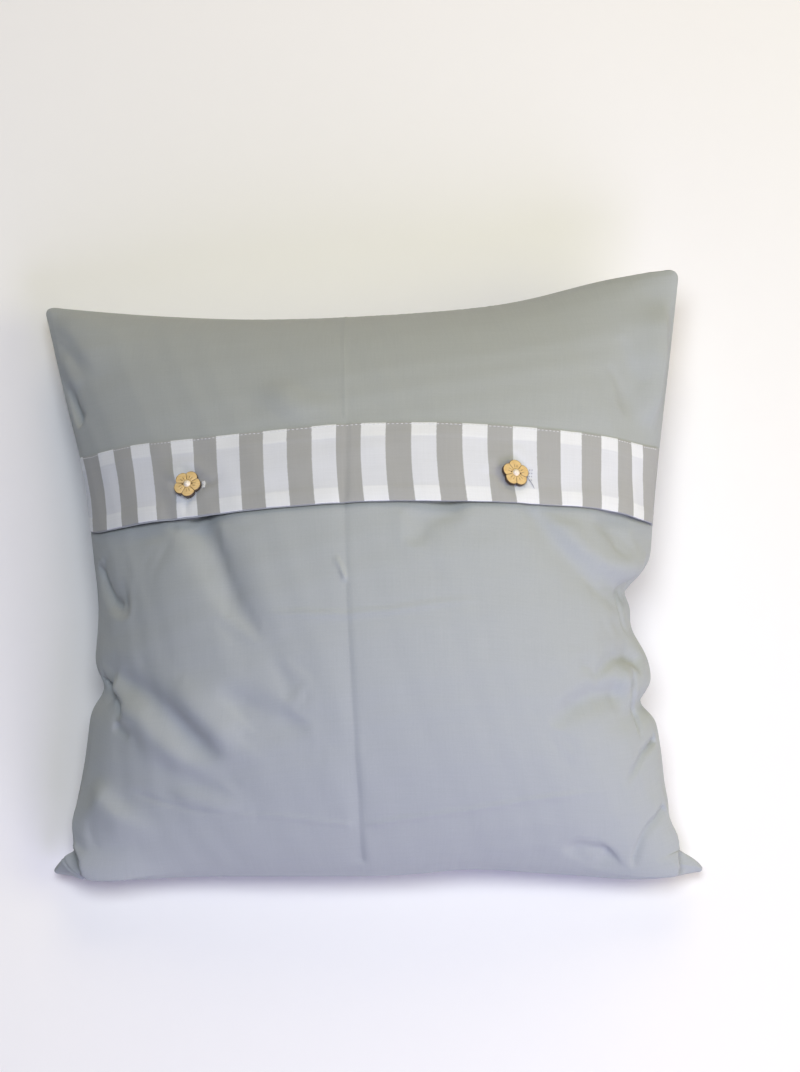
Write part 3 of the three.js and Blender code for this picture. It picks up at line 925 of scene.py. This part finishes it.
band = {
    "top": 0.715,             # share b of its sewn edge, plus this table in mm
    "topShift": [(0, -1.4), (0.33, -1.4), (0.44, -0.5), (0.6, -0.5), (0.73, -2.1), (0.87, -3.0), (1, -2.6)],
    "side": 0.004,
    "thickness": 0.45,
    "cells": (300, 40),
    "inset": [(0, 0.4), (0.16, 0.5), (0.23, 0.5), (0.33, 0.3), (0.42, 0.2), (0.52, 0.1), (1, 0.1)],
    "endRows": (0.002, 0.005, 0.01, 0.98, 0.99, 0.995, 0.998),
    "thinnest": 0.04,
    "clear": 0.08,            # off the flap
    "allowance": 9.0,         # width of the turned-in strips along both edges, mm
    "turnRise": 0.16,         # how much fuller it is over them
    "turnSoft": 0.6,          # half the width of the step between the two
}

# Where the woven stripes lie: how far to the right of an even pitch, how much farther to the right
# at the band's lower edge than at its upper one, and how much farther at both edges, all in mm
stripePlaces = {
    "shift": [(0, -9), (0.03, -2.5), (0.1, 4.2), (0.175, 6.4), (0.25, 7.0), (0.32, 7.0), (0.39, 5.7),
              (0.455, 4.1), (0.52, 1.9), (0.59, 0.7), (0.66, 0.6), (0.73, 1.5), (0.805, 2.7),
              (0.88, 3.2), (0.93, 2.2), (0.965, -0.3), (1, 9)],
    "slant": [(0, 1.6), (0.1, 1.2), (0.175, 0.5), (0.3, -1.0), (0.39, -0.2), (0.52, 1.2), (0.66, 3.7),
              (0.8, 3.6), (0.88, 3.2), (0.95, 5.6), (1, 3.0)],
    "bow": [(0, 0), (0.8, 0), (0.88, -0.8), (0.95, -2.2), (1, 0)],
}


def topAt(a):
    return band["top"] + tableCurve(band["topShift"], a) / cover["side"]


def bandHeight(a, b):
    # on the flap, and a little fuller over the turned-in strips
    soft = band["turnSoft"]
    turned = 0
    for inward in (upFlap(a, b), (topAt(a) - b) * cover["side"]):
        turned = turned + smoothStep(band["allowance"] - inward, -soft, soft)
    return flapHeight(a, b) + band["clear"] + band["thickness"] + band["turnRise"] * turned


def makeBand():
    # it lies between the flap's edge and the sewn edge, and its map is the woven cloth before sewing
    columns = denseShares(band["side"], 1 - band["side"], band["cells"][0], denser["bandEnds"])
    share = np.linspace(0, 1, band["cells"][1] + 1)
    share = np.unique(np.concatenate([share, band["endRows"]]))
    a, s = np.meshgrid(columns, share)
    low = edgeAt(a) + tableCurve(band["inset"], a) / cover["side"]
    b = low + (topAt(a) - low) * s
    length = (topAt(a) - low) * cover["side"]
    rounding = roundedEdge(s * length, band["thickness"])
    rounding = rounding + roundedEdge((1 - s) * length, band["thickness"])
    height = bandHeight(a, b) + fineRise(a, b) - rounding
    thickness = np.maximum(band["thickness"] - 2 * rounding, band["thinnest"])
    shift = tableCurve(stripePlaces["shift"], a) + tableCurve(stripePlaces["slant"], a) * (0.5 - s)
    shift = shift + tableCurve(stripePlaces["bow"], a) * (1 - 2 * s) ** 2
    woven = np.stack([a - shift / cover["side"], (s - 1) * stripes["bandHeight"] / cover["side"]], -1)
    return makeSheet("stripedBand", a, b, height, thickness, woven)


def makeTubes(name, centres, radius, sides=7):
    # each row of centres is the middle of one thread, as wide as its radius times a rounded end
    threads, steps, _ = centres.shape
    along = unit(np.gradient(centres, axis=1))
    sideways = unit(np.cross(along, np.array([0.0, 0.0, 1.0])))
    upwards = np.cross(sideways, along)
    share = np.linspace(-1, 1, steps)
    width = radius * np.sqrt(np.clip(1 - np.abs(share) ** 6, 0.02, 1))
    turn = np.linspace(0, 2 * np.pi, sides, endpoint=False)
    ring = (sideways[:, :, None] * np.cos(turn)[:, None] + upwards[:, :, None] * np.sin(turn)[:, None])
    points = centres[:, :, None] + ring * width[None, :, None, None]
    index = np.arange(threads * steps * sides).reshape(threads, steps, sides)
    nextSide = np.roll(index, -1, axis=2)
    walls = np.stack([index[:, :-1], nextSide[:, :-1], nextSide[:, 1:], index[:, 1:]], -1).reshape(-1, 4)
    startCaps = index[:, 0, ::-1]
    endCaps = index[:, -1]
    faces = walls.tolist() + startCaps.tolist() + endCaps.tolist()
    return newPiece(name, points.reshape(-1, 3), faces)


stitch = {
    "pitch": 2.4,             # mm from one stitch to the next
    "length": 1.5,
    "radius": 0.2,
    "fromEdge": 1.1,          # mm below the band's top edge
    "start": 4,               # mm from the cushion's sides
    "rise": 0.16,             # of its middle over its ends, which dip into the cloth
    "dip": 0.06,
    "uneven": (0.12, 0.15),   # along the row and across it
    "steps": 7,               # rings of points to a stitch
}


def makeTopstitch():
    # short threads in a row, whose middles stand out of the cloth and whose ends dip into it
    count = int((cover["side"] - 2 * stitch["start"]) / stitch["pitch"])
    starts = stitch["start"] + np.arange(count) * stitch["pitch"]
    share = np.linspace(0, 1, stitch["steps"])
    sideways, upwards = stitch["uneven"]
    along = starts[:, None] + stitch["length"] * share + sideways * wobble(starts, 2.0)[:, None]
    a = along / cover["side"]
    fromEdge = stitch["fromEdge"] + upwards * wobble(starts * 0.4, 6.0)[:, None]
    b = topAt(a) - fromEdge / cover["side"]
    height = bandHeight(a, b) + fineRise(a, b) + stitch["rise"] * np.sin(np.pi * share) - stitch["dip"]
    return makeTubes("topstitch", overFront(a, b, height), stitch["radius"])


def onBand(spot, offsets, lift):
    # points on the band at offsets in mm from a button's middle, raised by lift
    offsets = np.asarray(offsets, float)
    a = spot["a"] + offsets[..., 0] / cover["side"]
    b = spot["b"] + offsets[..., 1] / cover["side"]
    return overFront(a, b, bandHeight(a, b) + fineRise(a, b) + lift)


# The upright stitches at each buttonhole's end, by their places right of the button's middle and
# above it in mm
holeStitches = {
    "left": {"right": (9.7, 10.3, 10.9), "above": (0.4,), "length": 4.6, "radius": 0.42},
    "right": {"right": (10.0, 11.4), "above": (-2.6, -0.2, 1.8, 3.6), "length": 0.7, "radius": 0.22},
}
holeStitchForm = {"uneven": 0.1, "lift": 0.7, "arch": 0.15}   # lift is a share of the radius


def makeHoleStitches(side):
    # side by side, a little uneven, with their middles raised
    row, form = holeStitches[side], holeStitchForm
    share = np.linspace(-0.5, 0.5, stitch["steps"])
    x, y = (grid.reshape(-1, 1) for grid in np.meshgrid(row["right"], row["above"]))
    x, y = x + form["uneven"] * wobble(x * 3, 1.0) + 0 * share, y + row["length"] * share
    lift = row["radius"] * form["lift"] + form["arch"] * np.cos(np.pi * share)
    centres = onBand(buttonSpots[side], np.stack([x, y], -1), lift)
    return makeTubes(side + "HoleStitches", centres, row["radius"])


threadTail = {
    "start": (7.4, 0.2),      # from the button's middle, mm
    "run": (5.4, -7.6),       # from its start to its end
    "bow": 0.5,
    "lift": (0.32, 0.5),      # of its middle line, and of its arch over that
    "radius": 0.17,
}


def makeThreadTail(spot):
    # one loose end of sewing thread that lies on the band beside the right button
    share = np.linspace(0, 1, 24)
    (startX, startY), (runX, runY) = threadTail["start"], threadTail["run"]
    x = startX + runX * share + threadTail["bow"] * np.sin(3.0 * share)
    y = startY + runY * share ** 1.15
    low, arch = threadTail["lift"]
    centres = onBand(spot, np.stack([x, y], -1), low + arch * np.sin(np.pi * share) * (1 - share))
    return makeTubes("threadTail", centres[None], threadTail["radius"], 8)


button = {
    "radius": 8.4,
    "notch": 1.7,             # how far the outline draws in between two petals
    "petalFullness": 0.7,
    "petals": 5,
    "thickness": 2.3,
    "bevel": 0.3,
    "petalRise": 0.3,
    "cutDepth": 0.28,
    "holeDepth": 1.4,
    "columns": 240,
    "rings": {"face": 49, "bevel": 4, "wall": 3, "back": 6},
    "ringLine": 2.6,          # radius of the engraved ring round the pearl
    "ringDepth": 0.7,         # a share of the depth of the lines between the petals
    "strokeDepth": 0.9,       # and so is this
    "strokes": (3.1, 3.5, 5.0, 5.5),    # where the two on each petal rise from nothing and fall back
    "strokeAngle": 10.5,
    "lineStart": (2.7, 3.2),
    "lineWidth": 0.17,
    "holeAt": 2.95,
    "holeEdge": (0.35, 0.6),  # the radii where a hole's bottom ends and its rim begins
    "burn": {"cuts": 0.9, "rim": 0.55, "rimWidth": 0.8},
    "seat": 0.05,
}
pearl = {"radius": 2.1, "height": 1.75, "sink": 0.15, "rings": 20, "columns": 48}


def buttonFrame(spot):
    # the cloth's even outward direction turned by the button's lean, and its own right and up
    step = 0.004
    a, b = spot["a"], spot["b"]
    nearby = plainFront(np.array([[a + step, a - step, a, a]]), np.array([[b, b, b + step, b - step]]))[0]
    face = np.cross(nearby[0] - nearby[1], nearby[2] - nearby[3])
    face = unit(unit(face) + np.array([*spot["lean"], 0.0]))
    right = unit(np.array([1.0, 0.0, 0.0]) - face * face[0])
    axes = np.stack([right, np.cross(face, right), face])
    x, y = np.meshgrid(np.linspace(-10, 10, 41), np.linspace(-10, 10, 41))
    origin = onBand(spot, np.zeros((1, 2)), 0.0)[0]
    under = (onBand(spot, np.stack([x, y], -1), 0.0) - origin) @ axes.T
    within = np.hypot(under[..., 0], under[..., 1]) < button["radius"]
    return origin + face * (under[..., 2][within].max() + button["seat"]), axes


def engraving(x, y, petalAngle):
    # 1 in the middle of a cut line and 0 off it: between the petals, two on each, and a ring
    radius = np.hypot(x, y)
    angle = np.arctan2(y, x) - petalAngle
    sector = 2 * np.pi / button["petals"]
    fromPetal = (angle + sector / 2) % sector - sector / 2
    width = button["lineWidth"]
    between = radius * np.sin(sector / 2 - np.abs(fromPetal))
    lines = np.exp(-(between / width) ** 2) * smoothStep(radius, *button["lineStart"])
    beside = radius * np.sin(np.abs(fromPetal) - math.radians(button["strokeAngle"]))
    reach = smoothStep(radius, *button["strokes"][:2]) * (1 - smoothStep(radius, *button["strokes"][2:]))
    lines = np.maximum(lines, button["strokeDepth"] * np.exp(-(beside / width) ** 2) * reach)
    ring = np.exp(-((radius - button["ringLine"]) / width) ** 2)
    return np.maximum(lines, button["ringDepth"] * ring)


def makeTurned(name, spot, x, y, z, top, bottom):
    # rings of points from a middle point at the height top to one at the bottom, set on the band
    columns = x.shape[1]
    index = np.arange(x.size).reshape(x.shape)
    following = np.roll(index, -1, axis=1)
    walls = np.stack([index[:-1], index[1:], following[1:], following[:-1]], -1).reshape(-1, 4)
    topFan = np.stack([np.full(columns, x.size), index[0], following[0]], -1)
    bottomFan = np.stack([np.full(columns, x.size + 1), following[-1], index[-1]], -1)
    local = np.concatenate([np.stack([x, y, z], -1).reshape(-1, 3), [[0, 0, top], [0, 0, bottom]]])
    origin, axes = buttonFrame(spot)
    return newPiece(name, origin + local @ axes, walls.tolist() + topFan.tolist() + bottomFan.tolist())


def makeButton(name, spot):
    # rings from the middle of the face out over the edge, down the wall and in along the back
    petalAngle = math.radians(spot["petal"])
    angle = np.linspace(0, 2 * np.pi, button["columns"], endpoint=False)
    petal = np.abs(np.cos(button["petals"] * (angle - petalAngle) / 2)) ** button["petalFullness"]
    outline = button["radius"] - button["notch"] * (1 - petal)
    bevel, thickness, rings = button["bevel"], button["thickness"], button["rings"]
    turn = np.linspace(0, np.pi / 2, rings["bevel"] + 1)[1:]
    face = np.linspace(0, 1, rings["face"] + 1)[1:]
    back = np.linspace(1, 0, rings["back"] + 2)[1:-1]
    inset = np.concatenate([bevel * (1 - np.sin(turn)), np.zeros(rings["wall"]),
                            bevel * (1 - np.cos(turn))])
    radius = np.concatenate([face[:, None] * (outline - bevel), outline - inset[:, None],
                             back[:, None] * (outline - bevel)])
    level = np.concatenate([np.full(len(face), thickness), thickness - bevel * (1 - np.cos(turn)),
                            np.linspace(thickness - bevel, bevel, rings["wall"] + 2)[1:-1],
                            bevel * (1 - np.sin(turn)), np.zeros(len(back))])
    x, y = radius * np.cos(angle), radius * np.sin(angle)
    isFace = (np.arange(len(radius)) < len(face))[:, None]
    rise = button["petalRise"] * petal * np.sin(np.pi * np.clip(radius / outline, 0, 1)) ** 2
    cut = engraving(x, y, petalAngle)
    holes = np.zeros_like(x)
    for side in (-1, 1):
        off = np.hypot(x - side * button["holeAt"], y)
        holes = np.maximum(holes, 1 - smoothStep(off, *button["holeEdge"]))
    fine = rise - button["cutDepth"] * cut - button["holeDepth"] * holes
    z = level[:, None] + np.where(isFace, fine, 0)
    look = button["burn"]
    rim = look["rim"] * (1 - smoothStep(outline - radius, 0.0, look["rimWidth"]))
    burn = np.where(isFace, np.maximum(np.maximum(look["cuts"] * cut, holes), rim), 1.0)
    piece = makeTurned(name, spot, x, y, z, thickness, 0)
    layer = piece.data.attributes.new("burn", "FLOAT", "POINT")
    layer.data.foreach_set("value", np.concatenate([burn.ravel(), [0, 1]]))
    return piece


def makePearl(name, spot):
    # a quarter of an ellipse turned about the button's axis, closed underneath
    turn = np.linspace(np.pi / 2, 0, pearl["rings"] + 1)[1:, None]
    angle = np.linspace(0, 2 * np.pi, pearl["columns"], endpoint=False)
    x, y = (pearl["radius"] * np.cos(turn) * part for part in (np.cos(angle), np.sin(angle)))
    foot = button["thickness"] - pearl["sink"]
    z = foot + pearl["height"] * np.sin(turn) + 0 * x
    return makeTurned(name, spot, x, y, z, foot + pearl["height"], foot)


# Materials
class Nodes:
    # a small helper that adds nodes to one material and links them as they are made
    def __init__(self, name):
        self.material = bpy.data.materials.new(name)
        self.material.use_nodes = True
        self.tree = self.material.node_tree
        self.shader = self.tree.nodes["Principled BSDF"]

    def add(self, kind, inputs=None, **settings):
        node = self.tree.nodes.new(kind)
        for key, value in settings.items():
            setattr(node, key, value)
        for key, value in (inputs or {}).items():
            self.put(node.inputs[key], value)
        return node

    def put(self, socket, value):
        if isinstance(value, bpy.types.NodeSocket):
            self.tree.links.new(value, socket)
        else:
            socket.default_value = value

    def math(self, operation, first, second=0.0, third=0.0):
        node = self.add("ShaderNodeMath", {0: first, 1: second, 2: third}, operation=operation)
        return node.outputs[0]

    def mix(self, share, first, second):
        node = self.add("ShaderNodeMix", data_type="RGBA")
        self.put(node.inputs[0], share)
        self.put(node.inputs[6], first)
        self.put(node.inputs[7], second)
        return node.outputs[2]

    def ramp(self, value, low, high):
        node = self.add("ShaderNodeMapRange", {0: value, 1: low, 2: high}, clamp=True)
        return node.outputs[0]

    def noise(self, vector, scale, detail=2.0, roughness=0.5):
        inputs = {"Vector": vector, "Scale": scale, "Detail": detail, "Roughness": roughness}
        return self.add("ShaderNodeTexNoise", inputs).outputs[0]

    def stretch(self, vector, scale, turn=0.0):
        inputs = {"Vector": vector, "Rotation": (0, 0, turn), "Scale": scale}
        return self.add("ShaderNodeMapping", inputs).outputs[0]

    def times(self, vector, share):
        return self.add("ShaderNodeVectorMath", {0: vector, "Scale": share}, operation="SCALE").outputs[0]

    def bump(self, height, depth, strength):
        inputs = {"Height": height, "Distance": depth, "Strength": strength}
        return self.add("ShaderNodeBump", inputs).outputs[0]

    def place(self):
        return self.add("ShaderNodeTexCoord").outputs["Object"]

    def shade(self, inputs):
        # the shader's inputs by name, and the finished material
        for key, value in inputs.items():
            self.put(self.shader.inputs[key], value)
        return self.material


cloth = {
    "threads": 2.1,           # per mm, both ways
    "weaveDepth": 0.05,       # mm
    "weaveStrength": 0.6,
    "plainColour": (0.378, 0.410, 0.424, 1.0),
    "heatherColour": (0.392, 0.420, 0.432, 1.0),
    "slubShare": 0.06,
    "slubScale": (0.035, 1.1, 1),   # of the noise along a thread and across it, per mm
    "roughness": 0.88,
    "sheen": 0.10,
    "sheenRoughness": 0.5,
    "gloss": 0.2,
}


def clothNodes(name):
    # coordinates in mm of cloth, the plain weave's height, and slubs along both threads
    nodes = Nodes(name)
    uv = nodes.add("ShaderNodeUVMap", uv_map="cloth").outputs[0]
    place = nodes.times(uv, cover["side"])
    axes = nodes.add("ShaderNodeSeparateXYZ", {0: place})
    x, y = axes.outputs[0], axes.outputs[1]
    turn = 2 * math.pi * cloth["threads"] / 2
    weave = nodes.math("MULTIPLY", nodes.math("SINE", nodes.math("MULTIPLY", x, turn)),
                       nodes.math("SINE", nodes.math("MULTIPLY", y, turn)))
    along, across, deep = cloth["slubScale"]
    alongX = nodes.noise(nodes.stretch(place, (along, across, deep)), 1.0, 3.0, 0.7)
    alongY = nodes.noise(nodes.stretch(place, (across, along, deep)), 1.0, 3.0, 0.7)
    slubs = nodes.math("ADD", alongX, alongY)
    fuzz = nodes.noise(place, 0.9, 4.0, 0.6)
    return nodes, (x, y), weave, slubs, fuzz


def finishCloth(nodes, colour, weave, slubs, fuzz):
    # slubs and fuzz vary the colour a little, and weave and slubs together make the bump
    uneven = nodes.math("ADD", nodes.ramp(slubs, 0.7, 1.3), nodes.math("MULTIPLY", fuzz, 0.6))
    share = nodes.math("MULTIPLY_ADD", uneven, cloth["slubShare"], 1 - 0.8 * cloth["slubShare"])
    height = nodes.math("ADD", nodes.math("MULTIPLY", weave, 0.5), nodes.math("MULTIPLY", slubs, 0.9))
    return nodes.shade({
        "Base Color": nodes.times(colour, share),
        "Normal": nodes.bump(height, cloth["weaveDepth"] * mm, cloth["weaveStrength"]),
        "Roughness": cloth["roughness"],
        "Sheen Weight": cloth["sheen"],
        "Sheen Roughness": cloth["sheenRoughness"],
        "Specular IOR Level": cloth["gloss"],
    })


def plainCloth():
    nodes, _, weave, slubs, fuzz = clothNodes("plainCotton")
    heather = nodes.mix(nodes.ramp(fuzz, 0.3, 0.7), cloth["plainColour"], cloth["heatherColour"])
    return finishCloth(nodes, heather, weave, slubs, fuzz)


stripes = {
    "pitch": 28.5,            # one white and one grey stripe, mm
    "first": 35.0,            # middle of the first white stripe
    "whiteWidth": 14.1,
    "edgeSoft": 0.15,         # half the width of the change from white to grey
    "fray": 0.9,              # how far a stripe's edge strays, mm
    "bandHeight": 49.0,
    "white": (0.672, 0.702, 0.768, 1.0),
    "doubledWhite": (0.750, 0.780, 0.830, 1.0),   # over the turned-in strips
    "doubledSoft": 0.4,       # half the width of the change to it
    "grey": (0.380, 0.390, 0.398, 1.0),
}


def stripedCloth():
    # a share of the pitch across decides between white and grey, and y runs down from the upper edge
    nodes, (x, y), weave, slubs, fuzz = clothNodes("stripedCotton")
    down = nodes.math("MULTIPLY", y, -1.0)
    fray = nodes.add("ShaderNodeCombineXYZ", {0: x, 1: nodes.math("MULTIPLY", y, 1.6), 2: 0.0}).outputs[0]
    edge = nodes.math("SUBTRACT", nodes.noise(fray, 1.1, 2.0), 0.5)
    across = nodes.math("ADD", x, nodes.math("MULTIPLY", edge, stripes["fray"]))
    fromStart = nodes.math("SUBTRACT", across, stripes["first"] - stripes["pitch"] / 2)
    share = nodes.math("FRACT", nodes.math("DIVIDE", fromStart, stripes["pitch"]))
    offMiddle = nodes.math("ABSOLUTE", nodes.math("SUBTRACT", share, 0.5))
    fromMiddle = nodes.math("MULTIPLY", offMiddle, stripes["pitch"])
    half, soft = stripes["whiteWidth"] / 2, stripes["edgeSoft"]
    isGrey = nodes.ramp(fromMiddle, half - soft, half + soft)
    up = nodes.math("SUBTRACT", stripes["bandHeight"], down)
    wide, soft = band["allowance"], stripes["doubledSoft"]
    nearTop, nearEdge = (nodes.math("SUBTRACT", 1.0, nodes.ramp(inward, wide - soft, wide + soft))
                         for inward in (down, up))
    doubled = nodes.math("MAXIMUM", nearTop, nearEdge)
    white = nodes.mix(doubled, stripes["white"], stripes["doubledWhite"])
    colour = nodes.mix(isGrey, white, stripes["grey"])
    return finishCloth(nodes, colour, weave, slubs, fuzz)


wood = {
    "light": (0.75, 0.56, 0.27, 1.0),
    "dark": (0.65, 0.45, 0.19, 1.0),
    "burnt": (0.055, 0.030, 0.016, 1.0),
    # two sizes of grain: its lines' spacing in metres, and how much it is drawn out along them
    "coarse": {"spacing": 0.0011, "drawn": 0.12},
    "fine": {"spacing": 0.00035, "drawn": 0.08},
    "grainTurn": 0.4,
    "grainDepth": 0.00004,
    "roughness": 0.45,
    "coat": (0.15, 0.3),      # weight and roughness
}


def buttonWood():
    # grain lines along one way, and the laser's burn by the piece's own attribute
    nodes = Nodes("buttonWood")
    place = nodes.place()
    coarse, fine = (nodes.stretch(place, (grain["drawn"] / grain["spacing"], 1 / grain["spacing"],
                                          1 / grain["spacing"]), wood["grainTurn"])
                    for grain in (wood["coarse"], wood["fine"]))
    fineLines = nodes.math("MULTIPLY", nodes.noise(fine, 1.0), 0.5)
    lines = nodes.math("ADD", nodes.noise(coarse, 1.0, 3.0, 0.6), fineLines)
    colour = nodes.mix(nodes.ramp(lines, 0.55, 0.95), wood["dark"], wood["light"])
    burn = nodes.add("ShaderNodeAttribute", attribute_name="burn").outputs["Fac"]
    uneven = nodes.math("MULTIPLY_ADD", nodes.noise(place, 900.0), 0.5, nodes.math("MULTIPLY", burn, 1.2))
    coatWeight, coatRoughness = wood["coat"]
    return nodes.shade({
        "Base Color": nodes.mix(nodes.ramp(uneven, 0.4, 1.25), colour, wood["burnt"]),
        "Normal": nodes.bump(lines, wood["grainDepth"], 0.5),
        "Roughness": wood["roughness"],
        "Coat Weight": coatWeight,
        "Coat Roughness": coatRoughness,
    })


# The other looks, each mottled with two colours: the noise's scale in a metre and its detail
mottled = {
    "creamPearl": {
        "colours": ((0.80, 0.73, 0.60, 1), (0.84, 0.77, 0.68, 1)), "noise": (700.0, 3.0),
        "shader": {"Roughness": 0.3, "Coat Weight": 0.5, "Coat Roughness": 0.1},
    },
    "whiteThread": {
        "colours": ((0.74, 0.76, 0.79, 1), (0.66, 0.68, 0.71, 1)), "noise": (2600.0, 2.0),
        "shader": {"Roughness": 0.8},
    },
    "greyThread": {
        "colours": ((0.30, 0.31, 0.37, 1), (0.24, 0.25, 0.31, 1)), "noise": (2600.0, 2.0),
        "shader": {"Roughness": 0.8},
    },
    "floorPaint": {
        "colours": ((0.88, 0.89, 0.91, 1), (0.89, 0.90, 0.92, 1)), "noise": (60.0, 2.0),
        "shader": {"Roughness": 0.9},
    },
}


def mottledLook(name):
    nodes = Nodes(name)
    look = mottled[name]
    colour = nodes.mix(nodes.noise(nodes.place(), *look["noise"]), *look["colours"])
    return nodes.shade({"Base Color": colour, **look["shader"]})


def dress(piece, material, slot, *nodesReplaced):
    # the material, the body that it rides on, and the solids that it stands for; slot is not used
    piece.data.materials.append(material)
    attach(piece, "root")
    if nodesReplaced:
        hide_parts(*nodesReplaced)
    return piece


plainCotton = plainCloth()
stripedCotton = stripedCloth()
tanWood = buttonWood()
cream = mottledLook("creamPearl")
whiteThread = mottledLook("whiteThread")
greyThread = mottledLook("greyThread")

body = dress(makeBody(), plainCotton, "plain_cloth", "cover_body")
print("body ready")

flapSheet = dress(makeFlap(), plainCotton, "plain_cloth", "upper_flap")
bandSheet = dress(makeBand(), stripedCotton, "striped_cloth", "striped_band")
topstitch = dress(makeTopstitch(), whiteThread, "striped_cloth")
print("flap and band ready")

for side, spot in buttonSpots.items():
    dress(makeButton("button" + side.title(), spot), tanWood, "button_wood", "button_" + side)
    dress(makePearl("pearl" + side.title(), spot), cream, "pearl", "pearl_" + side)
dress(makeHoleStitches("left"), whiteThread, "striped_cloth")
dress(makeHoleStitches("right"), greyThread, "striped_cloth")
dress(makeThreadTail(buttonSpots["right"]), greyThread, "striped_cloth")
print("buttons and threads ready")


# Camera, floor and light
view = {
    "distance": 1900.0,
    "toTheRight": 2.5,        # of the face's own direction, degrees
    "below": 16.0,
    "target": (15.0, 24.0, 60.0),
    "focal": 1.66,            # image pixels to one mm at the target
    "imageHeight": 1072,
    "sensor": 36.0,
}


def makeCamera():
    # back points from the target to the eye, and the cushion's own up stays up in the picture
    back = Vector((math.sin(math.radians(view["toTheRight"])), -math.sin(math.radians(view["below"])), 0))
    back.z = math.sqrt(1 - back.length_squared)
    right = Vector((0, 1, 0)).cross(back).normalized()
    up = back.cross(right)
    data = bpy.data.cameras.new("photoCamera")
    data.sensor_width = view["sensor"]
    data.lens = view["focal"] * view["distance"] / view["imageHeight"] * view["sensor"]
    camera = newObject("photoCamera", data)
    eye = (Vector(view["target"]) + Vector(placing) + back * view["distance"]) * mm
    axes = Matrix((right, up, back)).transposed().to_4x4()
    camera.matrix_world = Matrix.Translation(eye) @ axes
    data.clip_end = 50
    bpy.context.scene.camera = camera


studio = {
    "floorHalf": 6.0,         # metres
    "floorLevel": -0.0004,
    "ambient": 0.03,
    "aim": (0, 0, 0.06),      # where all the lights look
}

# Round lamps: the way to each from the cushion, its distance and size in metres, and its watts
lights = {
    "key": {"towards": (0.8, -0.1, 0.6), "distance": 1.6, "size": 0.9, "power": 8.5,
            "colour": (1.0, 0.92, 0.50)},
    "front": {"towards": (0.0, 0.0, 1.0), "distance": 2.0, "size": 1.0, "power": 23.0,
              "colour": (0.89, 0.93, 1.0)},
    "top": {"towards": (0.1, 0.8, 0.6), "distance": 1.8, "size": 1.0, "power": 8.8,
            "colour": (1.0, 0.80, 0.46)},
    "low": {"towards": (0.45, -0.8, 0.5), "distance": 1.8, "size": 1.0, "power": 19.0,
            "colour": (0.73, 0.68, 1.0)},
}


def areaLight(name, light):
    data = bpy.data.lights.new(name, "AREA")
    data.shape = "DISK"
    data.size = light["size"]
    data.energy = light["power"]
    data.color = light["colour"]
    lamp = newObject(name, data)
    toLamp = Vector(light["towards"]).normalized()
    lamp.location = toLamp * light["distance"] + Vector(studio["aim"])
    lamp.rotation_euler = toLamp.to_track_quat("Z", "Y").to_euler()


def makeStudio():
    floorMesh = bpy.data.meshes.new("floor")
    half, level = studio["floorHalf"], studio["floorLevel"]
    floorCorners = [(-half, -half, level), (half, -half, level), (half, half, level), (-half, half, level)]
    floorMesh.from_pydata(floorCorners, [], [(0, 1, 2, 3)])
    floorMesh.materials.append(mottledLook("floorPaint"))
    newObject("floor", floorMesh)
    world = bpy.data.worlds.new("studio")
    world.use_nodes = True
    background = world.node_tree.nodes["Background"].inputs
    background[0].default_value = (1.0, 1.0, 1.0, 1)
    background[1].default_value = studio["ambient"]
    bpy.context.scene.world = world
    for name, light in lights.items():
        areaLight(name, light)


makeCamera()
makeStudio()
bpy.context.scene.view_settings.view_transform = "Standard"
